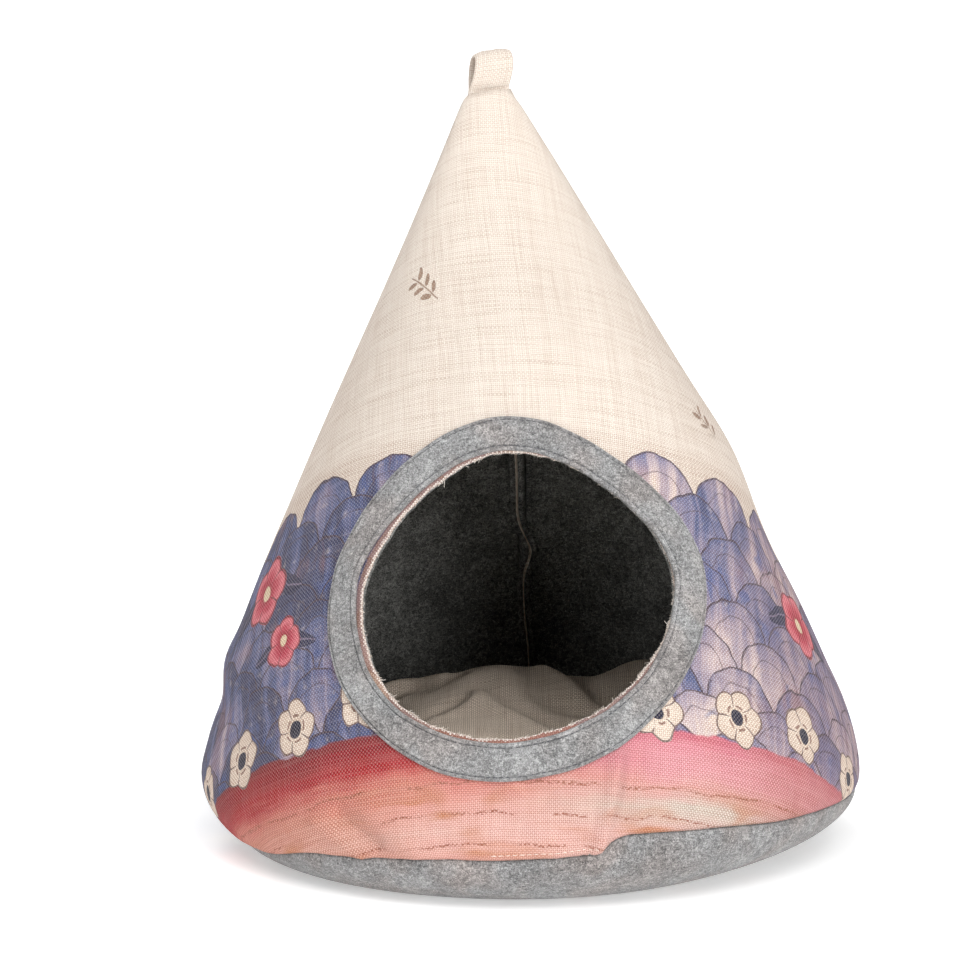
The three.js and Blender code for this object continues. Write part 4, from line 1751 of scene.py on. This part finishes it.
@dataclass
class Cushion:
    """The loose filled bag, swollen by a cloth simulation and then creased."""

    body: ConeBody
    floor_radius: float = 150.0
    radius: float = 184.0
    floor: float = 3.8
    side: float = 40.0
    crown: float = 72.0
    # Place to the right and back, spread and lift
    lobes: tuple[tuple[float, float, float, float], ...] = (
        (-22, 45, 58, 28),
        (94, 80, 62, 43),
        (-96, 88, 46, 20),
        (-60, -70, 60, 6),
        (40, 66, 20, -7),
        (-66, 78, 18, -6),
    )
    wrinkles: tuple[Wrinkle, ...] = (
        Wrinkle(((-2, 46), (5, 8), (20, -3), (44, -4)), 9.0, 5.0),
        Wrinkle(((8, 52), (25, 31), (34, 14), (42, 2)), 8.0, -4.5),
        Wrinkle(((22, 62), (38, 36), (46, 14)), 9.0, 6.0),
        Wrinkle(((-36, 6), (-26, -11), (-14, -22), (8, -46)), 7.0, -3.6),
        Wrinkle(((-26, 12), (-14, -6), (4, -20), (24, -42)), 8.0, 3.4),
        Wrinkle(((-70, -16), (-54, -5), (-40, 6), (-30, 22)), 7.0, 3.0),
        Wrinkle(((-62, -24), (-44, -14), (-34, 0)), 6.0, -2.4),
        Wrinkle(((-92, 46), (-79, 56), (-62, 40), (-48, 48)), 8.0, 5.5),
        Wrinkle(((-98, 62), (-80, 70), (-60, 62)), 7.0, -4.0),
        Wrinkle(((60, 30), (84, 52), (112, 60)), 9.0, 2.6),
        Wrinkle(((-20, -70), (20, -76), (64, -58)), 9.0, 2.4),
        Wrinkle(((-96, -40), (-84, -4), (-92, 24)), 9.0, 2.6),
        Wrinkle(((20, 110), (40, 96), (70, 116)), 10.0, 3.4),
        Wrinkle(((-40, 120), (-18, 100), (2, 118)), 10.0, 3.0),
    )
    shrink: float = 5.0
    cap: float = 9.0
    voxel: float = 5.0
    pressure: float = 4.0
    stiffness: float = 12.0
    bending: float = 0.4
    frames: int = 20
    columns: int = 96
    side_rows: int = 9
    top_rows: int = 25
    seat_gap: float = 1.5
    crease_heights: tuple[float, float] = (34.0, 58.0)
    crease_samples: int = 40

    def crown_height(self, x: Array, y: Array) -> Array:
        """Gives the height of the lobes over points of the plan.

        Args:
            x: Places to the right, in millimetres.
            y: Places to the back, in millimetres.

        Returns:
            Heights in millimetres.
        """
        rise = np.full(np.shape(x), self.crown)
        for lobe_x, lobe_y, spread, lift in self.lobes:
            rise = rise + lift * np.exp(-((x - lobe_x) ** 2 + (y - lobe_y) ** 2) / spread**2)
        return rise

    def shell(self, finish: Material) -> Object:
        """Builds the bag before it is swollen, a little smaller than its solid.

        Args:
            finish: Its material.

        Returns:
            The bag as a closed mesh.
        """
        turn = even_turns(self.columns)
        x_part, y_part = np.sin(np.radians(turn)), -np.cos(np.radians(turn))
        under = self.floor_radius - self.shrink - self.body.tuck_length(turn)
        radius = self.radius - self.shrink
        rows = []
        seat = self.floor + self.seat_gap
        for angle in np.linspace(0, math.pi / 2, self.side_rows):
            at = under + (radius - under) * math.sin(angle)
            height = self.side + (seat - self.side) * math.cos(angle)
            rows.append(np.stack([at * x_part, at * y_part, np.full(self.columns, height)], axis=-1))
        for share in np.linspace(1, 0, self.top_rows)[1:-1]:
            x, y = radius * share * x_part, radius * share * y_part
            swell = math.sqrt(1 - share * share)
            height = self.side + (self.crown_height(x, y) - self.shrink - self.side) * swell
            rows.append(np.stack([x, y, height], axis=-1))
        head = float(self.crown_height(np.float64(0), np.float64(0))) - self.shrink
        points = np.concatenate([*rows, [[0.0, 0.0, seat], [0.0, 0.0, head]]])
        faces = grid_faces(self.columns, len(rows), closed=True).tolist()
        last = (len(rows) - 1) * self.columns
        for step in range(self.columns):
            after = (step + 1) % self.columns
            faces.append([len(points) - 2, after, step])
            faces.append([len(points) - 1, last + step, last + after])
        return mesh_object("cushion_bag", points, faces, finish)

    def swell(self, obj: Object) -> None:
        """Swells the bag with a short cloth simulation and keeps the result in the mesh.

        Args:
            obj: The bag.
        """
        scene = bpy.context.scene
        remesh = obj.modifiers.new("Even faces", "REMESH")
        remesh.mode = "VOXEL"
        remesh.voxel_size = self.voxel * MM
        bake(obj)
        rest = read_points(obj)
        cloth = obj.modifiers.new("Cloth", "CLOTH")
        settings = cloth.settings
        settings.quality = 5
        settings.mass = 0.25
        settings.use_pressure = True
        settings.uniform_pressure_force = self.pressure
        settings.effector_weights.gravity = 0.0
        settings.tension_stiffness = settings.compression_stiffness = self.stiffness
        settings.bending_stiffness = self.bending
        cloth.point_cache.frame_start = 1
        cloth.point_cache.frame_end = self.frames
        for frame in range(1, self.frames + 1):
            scene.frame_set(frame)
        bake(obj)
        scene.frame_set(1)
        moved = read_points(obj) - rest
        far = np.linalg.norm(moved, axis=1, keepdims=True)
        points = rest + moved * np.minimum(1.0, self.cap * MM / np.maximum(far, 1e-9))
        write_points(obj, self.creased(points * 1000.0) * MM)

    def creased(self, points: Array) -> Array:
        """Presses the wrinkles into the top and keeps the bag in its dish.

        Args:
            points: The bag's points in millimetres.

        Returns:
            The creased points.
        """
        on_top = smooth(*self.crease_heights, points[:, 2])
        drop = np.zeros(len(points))
        for wrinkle in self.wrinkles:
            path = np.array(wrinkle.path, float)
            fine = np.linspace(0, len(path) - 1, self.crease_samples)
            known = np.arange(len(path))
            line = np.stack([np.interp(fine, known, path[:, part]) for part in range(2)], axis=1)
            gap = points[:, None, :2] - line[None]
            away = np.sqrt((gap**2).sum(axis=2).min(axis=1))
            drop += wrinkle.depth * bell(away / wrinkle.width)
        points = points.copy()
        points[:, 2] -= drop * on_top
        points[:, 2] = np.maximum(points[:, 2], self.floor)
        return points

    def build(self, finishes: Finishes) -> Object:
        """Builds, swells and dresses the bag.

        Args:
            finishes: The materials.

        Returns:
            The cushion.
        """
        obj = self.shell(finishes.cushion)
        self.swell(obj)
        obj.data.materials.clear()
        obj.data.materials.append(finishes.cushion)
        shade_smooth(obj.data)
        finer = obj.modifiers.new("Smooth", "SUBSURF")
        finer.levels = 1
        finer.render_levels = 1
        return obj


def bake(obj: Object) -> None:
    """Puts an object's modifiers into its mesh and removes them.

    Args:
        obj: The object.
    """
    graph = bpy.context.evaluated_depsgraph_get()
    mesh = bpy.data.meshes.new_from_object(obj.evaluated_get(graph), depsgraph=graph)
    obj.modifiers.clear()
    obj.data = mesh


def read_points(obj: Object) -> Array:
    """Reads the points of an object's mesh.

    Args:
        obj: The object.

    Returns:
        The points in metres.
    """
    flat = np.zeros(len(obj.data.vertices) * 3, np.float32)
    obj.data.vertices.foreach_get("co", flat)
    return flat.reshape(-1, 3).astype(float)


def write_points(obj: Object, points: Array) -> None:
    """Writes an object's mesh points in metres."""
    obj.data.vertices.foreach_set("co", points.astype(np.float32).ravel())
    obj.data.update()


@dataclass
class StrapLoop:
    """The folded linen strap: a drop-shaped loop above a doubled tongue in the tip."""

    body: ConeBody
    width: float = 24.5
    thickness: float = 1.9
    loop_depth: float = 15.5
    foot_share: float = 0.55
    fullness: float = 1.25
    loop_height: float = 25.6
    foot_rise: float = 4.4
    tongue: float = 28.0
    slope: float = 7.0
    twist: float = 8.0
    sway: float = 2.0
    flare: float = 0.08
    belly: float = 1.1
    droop: float = 1.8
    sag: float = 0.35
    sag_pace: float = 0.11
    wave: float = 0.12
    wave_paces: tuple[float, float] = (0.7, 0.2)
    edge_bevel: float = 0.5
    edge_share: float = 0.4
    skin_gap: float = 0.05
    steps: int = 90
    across_steps: int = 14
    drop_samples: int = 241

    def centre_line(self) -> Array:
        """Follows the middle of the strap, seen along its width.

        Returns:
            Depths and heights in millimetres, the front leg first.
        """
        angle = np.linspace(0, 2 * math.pi, self.drop_samples)
        rise = (1 - np.cos(angle)) / 2
        swell = np.sin(angle) * (self.foot_share + (1 - self.foot_share) * rise) * self.fullness
        half = (self.loop_depth - self.thickness) / 2
        foot, head = self.thickness * 0.9, self.loop_height - self.thickness / 2
        drop = np.stack([-half * swell, foot + (head - foot) * rise], axis=1)
        side = self.thickness / 2
        keep = drop[(np.abs(drop[:, 0]) > side) | (drop[:, 1] > self.loop_height / 2)]
        front = [[-side, -self.tongue], [-side, -self.tongue / 2]]
        back = [[side, -self.tongue / 2], [side, -self.tongue]]
        line = np.vstack([front, keep, back])
        run = run_lengths(line)
        even = np.linspace(0, run[-1], self.steps)
        return np.stack([np.interp(even, run, line[:, part]) for part in range(2)], axis=1)

    def build(self, finishes: Finishes) -> Object:
        """Builds the strap as a swept band with rounded edges.

        Args:
            finishes: The materials.

        Returns:
            The strap.
        """
        line = self.centre_line()
        course = unit(np.gradient(line, axis=0))
        outward = np.stack([-course[:, 1], course[:, 0]], axis=1)
        half, thick = self.width / 2, self.thickness / 2 - self.skin_gap
        edge = thick * self.edge_share
        across = np.linspace(-half + self.edge_bevel, half - self.edge_bevel, self.across_steps)
        upper = [(x, thick) for x in across] + [(half, edge), (half, -edge)]
        section = np.array(upper + [(-x, -height) for x, height in upper])
        x, height = section.T
        run = run_lengths(line)[:, None]
        lift = height + self.wave * np.sin(x * self.wave_paces[0] + run * self.wave_paces[1])
        place = line[:, None, :] + outward[:, None, :] * lift[..., None]
        wide = x + self.sag * np.sin(run * self.sag_pace)
        points = np.concatenate([wide[..., None], place], axis=-1).reshape(-1, 3)
        faces = tube_faces(len(section), self.steps)
        flat = np.stack(np.broadcast_arrays(x, run), axis=-1).reshape(-1, 2)
        uv = np.concatenate([flat[face] for face in faces]) * MM
        return mesh_object("strap_loop", self.placed(points), faces, finishes.plain, uv)

    def softened(self, points: Array) -> Array:
        """Lets the loop droop at its edges, flare to its foot, sway and twist.

        Args:
            points: The strap's points before it is set on the tip.

        Returns:
            The points of the soft strap.
        """
        x, y, z = points.T
        rise = np.clip(z / self.loop_height, 0, 1)
        beside = x / (self.width / 2)
        z = z - self.droop * np.abs(beside) ** 4 * rise**4 + x * math.tan(math.radians(self.slope))
        x = x * (1 + self.flare * (0.5 - rise)) + self.belly * np.sin(math.pi * rise) * np.maximum(beside, 0)
        x = x + self.sway * (rise - 0.5)
        twist = np.radians(self.twist) * smooth(0, 0.4, rise)
        wide = x * np.cos(twist) - y * np.sin(twist)
        return np.stack([wide, x * np.sin(twist) + y * np.cos(twist), z], axis=-1)

    def placed(self, points: Array) -> Array:
        """Softens the strap, turns it and sets it on the tip.

        Args:
            points: The strap's points before it is set on the tip.

        Returns:
            The points in millimetres.
        """
        turn = math.radians(self.body.tip_turn)
        x, y, z = self.softened(points).T
        height, _, shift = self.body.sections[-1]
        wide = x * math.cos(turn) - y * math.sin(turn) + shift
        deep = x * math.sin(turn) + y * math.cos(turn) + self.body.settle_deep
        return np.stack([wide, deep, z + height + self.foot_rise], axis=-1)


# What repeats along a path


class NodeTree(NodeBench):
    """Builds one Geometry Nodes tree with named inputs."""

    def __init__(self, name: str) -> None:
        """Starts a tree that takes and gives geometry.

        Args:
            name: The tree's name.
        """
        super().__init__(bpy.data.node_groups.new(name, "GeometryNodeTree"))
        for way in ("INPUT", "OUTPUT"):
            self.tree.interface.new_socket("Geometry", in_out=way, socket_type="NodeSocketGeometry")
        self.names: dict[str, str] = {}
        self.source = self.tree.nodes.new("NodeGroupInput")
        self.target = self.tree.nodes.new("NodeGroupOutput")

    def entry(self, name: str, kind: str, value: object = None) -> NodeSocket:
        """Adds a named input.

        Args:
            name: The input's name.
            kind: Its socket type.
            value: What it starts at.

        Returns:
            The socket inside the tree.
        """
        item = self.tree.interface.new_socket(name, in_out="INPUT", socket_type=kind)
        if value is not None:
            item.default_value = value
        self.names[name] = item.identifier
        return self.source.outputs[name]

    def close(self, parts: dict[str, bpy.types.Node], material: NodeSocket) -> None:
        """Sets copies on points and ends the tree in real meshes with their material.

        Args:
            parts: The nodes that give the points, and the copies with their rotation and scale.
            material: The material's input.
        """
        entries = {name: node.outputs[0] for name, node in parts.items()}
        placed = self.node("GeometryNodeInstanceOnPoints", entries)
        real = self.node("GeometryNodeRealizeInstances", {"Geometry": placed.outputs[0]})
        dressed = self.node("GeometryNodeSetMaterial", {"Geometry": real.outputs[0], "Material": material})
        self.tree.links.new(dressed.outputs[0], self.target.inputs[0])

    def run(
        self,
        name: str,
        paths: Sequence[Array],
        values: dict[str, object],
        leans: Array | None = None,
        closed: bool = True,
    ) -> Object:
        """Runs the tree on paths and gives the result as a plain mesh object.

        Args:
            name: The piece's name.
            paths: Points of each path in millimetres.
            values: Values for the named inputs.
            leans: A direction for each point, for trees that read one.
            closed: Whether each path runs back to its start.

        Returns:
            The piece.
        """
        mesh = bpy.data.meshes.new(name)
        edges, start = [], 0
        for path in paths:
            count = len(path)
            steps = count if closed else count - 1
            edges += [(start + step, start + (step + 1) % count) for step in range(steps)]
            start += count
        mesh.from_pydata((np.concatenate(list(paths)) * MM).tolist(), edges, [])
        if leans is not None:
            lean = mesh.attributes.new("lean", "FLOAT_VECTOR", "POINT")
            lean.data.foreach_set("vector", leans.astype(np.float32).ravel())
        obj = add_object(name, mesh)
        step = obj.modifiers.new("Repeat", "NODES")
        step.node_group = self.tree
        for key, value in values.items():
            step[self.names[key]] = value
        bake(obj)
        shade_smooth(obj.data)
        return obj


def stitch_tree() -> NodeTree:
    """Builds the tree that lays stitches along a path.

    Returns:
        The tree, with inputs for the stitch's length, pitch, thread, seed and material.
    """
    bench = NodeTree("stitches_on_path")
    length = bench.entry("Stitch Length", "NodeSocketFloat", 0.003)
    pitch = bench.entry("Stitch Pitch", "NodeSocketFloat", 0.0038)
    thread = bench.entry("Thread Radius", "NodeSocketFloat", 0.0003)
    seed = bench.entry("Seed", "NodeSocketInt", 3)
    material = bench.entry("Material", "NodeSocketMaterial")
    curve = bench.node("GeometryNodeMeshToCurve", {"Mesh": bench.source.outputs[0]})
    run = {"Curve": curve.outputs[0], "Length": pitch}
    spaced = bench.node("GeometryNodeResampleCurve", run, mode="LENGTH")
    grain = bench.node("GeometryNodeMeshUVSphere", {"Segments": 6, "Rings": 5, "Radius": 1.0})
    tangent = bench.node("GeometryNodeInputTangent", {})
    turned = bench.node("FunctionNodeAlignRotationToVector", {"Vector": tangent.outputs[0]}, axis="X")
    half = bench.node("ShaderNodeMath", {0: length, 1: 0.5}, operation="MULTIPLY")
    size = bench.node("ShaderNodeCombineXYZ", {"X": half.outputs[0], "Y": thread, "Z": thread})
    vary = bench.node("FunctionNodeRandomValue", {"Seed": seed, 2: 0.86, 3: 1.05}, data_type="FLOAT")
    varied = {0: size.outputs[0], "Scale": vary.outputs[1]}
    scaled = bench.node("ShaderNodeVectorMath", varied, operation="SCALE")
    bench.close({"Points": spaced, "Instance": grain, "Rotation": turned, "Scale": scaled}, material)
    return bench


def fray_tree() -> NodeTree:
    """Builds the tree that stands short loose threads along a raw edge.

    Returns:
        The tree, with inputs for the count, length, thread, spread, seed and material.
    """
    bench = NodeTree("fray_on_edge")
    count = bench.entry("Count", "NodeSocketInt", 400)
    length = bench.entry("Fray Length", "NodeSocketFloat", 0.003)
    thread = bench.entry("Thread Radius", "NodeSocketFloat", 0.0002)
    spread = bench.entry("Spread", "NodeSocketFloat", 0.8)
    seed = bench.entry("Seed", "NodeSocketInt", 11)
    material = bench.entry("Material", "NodeSocketMaterial")
    curve = bench.node("GeometryNodeMeshToCurve", {"Mesh": bench.source.outputs[0]})
    run = {"Curve": curve.outputs[0], "Count": count}
    spaced = bench.node("GeometryNodeResampleCurve", run, mode="COUNT")
    bent = bench.node(
        "GeometryNodeCurveQuadraticBezier",
        {"Resolution": 4, "Start": (0.0, 0.0, -0.3), "Middle": (0.1, 0.05, 0.5), "End": (-0.35, 0.3, 1.0)},
    )
    ratio = bench.node("ShaderNodeMath", {0: thread, 1: length}, operation="DIVIDE")
    profile = {"Resolution": 4, "Radius": ratio.outputs[0]}
    ring = bench.node("GeometryNodeCurvePrimitiveCircle", profile, mode="RADIUS")
    strand = bench.node(
        "GeometryNodeCurveToMesh",
        {"Curve": bent.outputs[0], "Profile Curve": ring.outputs[0], "Fill Caps": True},
    )
    lean = bench.node("GeometryNodeInputNamedAttribute", {"Name": "lean"}, data_type="FLOAT_VECTOR")
    limits = {0: (-1.0, -1.0, -1.0), 1: (1.0, 1.0, 1.0)}
    stray = bench.node("FunctionNodeRandomValue", {"Seed": seed, **limits}, data_type="FLOAT_VECTOR")
    loose = bench.node("ShaderNodeVectorMath", {0: stray.outputs[0], "Scale": spread}, operation="SCALE")
    both = {0: lean.outputs[0], 1: loose.outputs[0]}
    course = bench.node("ShaderNodeVectorMath", both, operation="ADD")
    turned = bench.node("FunctionNodeAlignRotationToVector", {"Vector": course.outputs[0]}, axis="Z")
    vary = bench.node("FunctionNodeRandomValue", {"Seed": seed, 2: 0.45, 3: 1.15}, data_type="FLOAT")
    size = bench.node("ShaderNodeMath", {0: vary.outputs[1], 1: length}, operation="MULTIPLY")
    bench.close({"Points": spaced, "Instance": strand, "Rotation": turned, "Scale": size}, material)
    return bench


# The stage


@dataclass(frozen=True)
class SoftLight:
    """An even light from one side: where it stands and how wide it looks, in degrees."""

    name: str
    turn: float
    height: float
    strength: float
    softness: float

    def build(self) -> None:
        """Adds the light."""
        lamp = bpy.data.lights.new(self.name, "SUN")
        lamp.energy = self.strength
        lamp.angle = math.radians(self.softness)
        obj = add_object(self.name, lamp)
        obj.rotation_euler = (math.radians(90.0 - self.height), 0.0, math.radians(self.turn))


@dataclass
class Studio:
    """The pale floor, the soft lights and the camera, in metres."""

    lights: tuple[SoftLight, ...] = (
        SoftLight("right_box", 30.0, 12.0, 1.4, 24.0),
        SoftLight("left_box", -31.0, 12.0, 0.42, 24.0),
        SoftLight("right_high_box", 40.0, 45.0, 1.08, 40.0),
        SoftLight("front_high_box", 0.0, 55.0, 0.86, 40.0),
        SoftLight("top_box", 0.0, 82.0, 0.58, 70.0),
        SoftLight("back_box", -130.0, 40.0, 1.34, 60.0),
    )
    floor_corners: tuple[Triple, ...] = ((-30, -30, 0), (30, -30, 0), (30, 75, 0), (-30, 75, 0))
    aim: Triple = (-0.026, 0.0, 0.226)
    distance: float = 2.4
    elevation: float = 8.0
    focal_pixels: float = 3750.0
    picture_width: float = 980.0
    sensor: float = 36.0
    far_end: float = 200.0
    world_strength: float = 0.02
    floor_glow: float = 0.35

    def build(self) -> None:
        """Builds the floor, the lights, the sky and the camera."""
        scene = bpy.context.scene
        scene.view_settings.view_transform = "Standard"
        world = bpy.data.worlds.new("white_room")
        world.use_nodes = True
        sky = world.node_tree.nodes["Background"]
        sky.inputs["Color"].default_value = (1.0, 1.0, 1.0, 1.0)
        sky.inputs["Strength"].default_value = self.world_strength
        scene.world = world
        glow = {"Emission Color": (1.0, 1.0, 1.0, 1.0), "Emission Strength": self.floor_glow}
        paint = Bench("pale_floor").shade({"Base Color": (0.97, 0.97, 0.97, 1.0), "Roughness": 0.9, **glow})
        corners = np.array(self.floor_corners, float) / MM
        floor = mesh_object("studio_floor", corners, [[0, 1, 2, 3]], paint)
        for lamp in self.lights:
            lamp.build()
        lens = bpy.data.cameras.new("camera")
        lens.sensor_width = self.sensor
        lens.lens = self.focal_pixels / self.picture_width * self.sensor
        lens.clip_end = self.far_end
        camera = add_object("camera", lens)
        slope = math.radians(self.elevation)
        camera.location = (
            self.aim[0],
            self.aim[1] - self.distance * math.cos(slope),
            self.aim[2] + self.distance * math.sin(slope),
        )
        camera.rotation_euler = (math.pi / 2 - slope, 0.0, 0.0)
        scene.camera = camera


def attach(obj: Object, slot: str, *nodes: str) -> Object:
    """Sets a piece on the tent's one body and reports it.

    Args:
        obj: The piece.
        slot: The record's material slot; not used.
        nodes: The solids that it stands for.

    Returns:
        The piece.
    """
    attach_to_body(obj, BODY)
    if nodes:
        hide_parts(*nodes)
    LOG.info("%s: %d faces", obj.name, len(obj.data.polygons))
    return obj


def main() -> None:
    """Builds every piece in order."""
    logging.basicConfig(level=logging.INFO, format="%(message)s")
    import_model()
    Studio().build()
    body = ConeBody()
    finishes = Finishes()

    cover_maker = LinenCover(body)
    cover = attach(cover_maker.build(finishes), "printed_linen", "cover")
    lining_maker = FeltLining(body)
    lining = attach(lining_maker.build(finishes), "dark_felt", "lining")
    layers = [(layer, finishes.dark_felt, "dark_felt") for layer in lining_maker.felt_layers]
    layers.append((lining_maker.linen_layer, finishes.seam_thread, "plain_linen"))
    seam = [attach(lining_maker.strip(layer, finish), slot) for layer, finish, slot in layers]

    band_maker = DoorBand(body)
    trims = [attach(band_maker.build(finishes), "grey_felt", "entry_ring")]
    stitches = stitch_tree()
    values = band_maker.stitching.values(finishes.grey_thread)
    trims.append(attach(stitches.run("band_stitches", band_maker.groove_paths(), values), "grey_felt"))
    values = cover_maker.hem_stitching.values(finishes.raw_thread)
    hem_stitches = stitches.run("hem_stitches", [cover_maker.hem_path()], values, closed=False)
    trims.append(attach(hem_stitches, "plain_linen"))
    fraying = fray_tree()
    for name, threads in (("edge_fray", band_maker.matted), ("loose_threads", band_maker.loose)):
        edge, leans = band_maker.raw_path(threads.inward)
        frayed = fraying.run(name, [edge], threads.values(finishes.raw_thread), leans)
        trims.append(attach(frayed, "plain_linen"))

    base = attach(FeltBase(body).build(finishes), "grey_felt", "base")
    cushion = attach(Cushion(body).build(finishes), "cushion_linen", "cushion")
    strap = attach(StrapLoop(body).build(finishes), "plain_linen", "hang_loop")


if __name__ == "__main__":
    main()
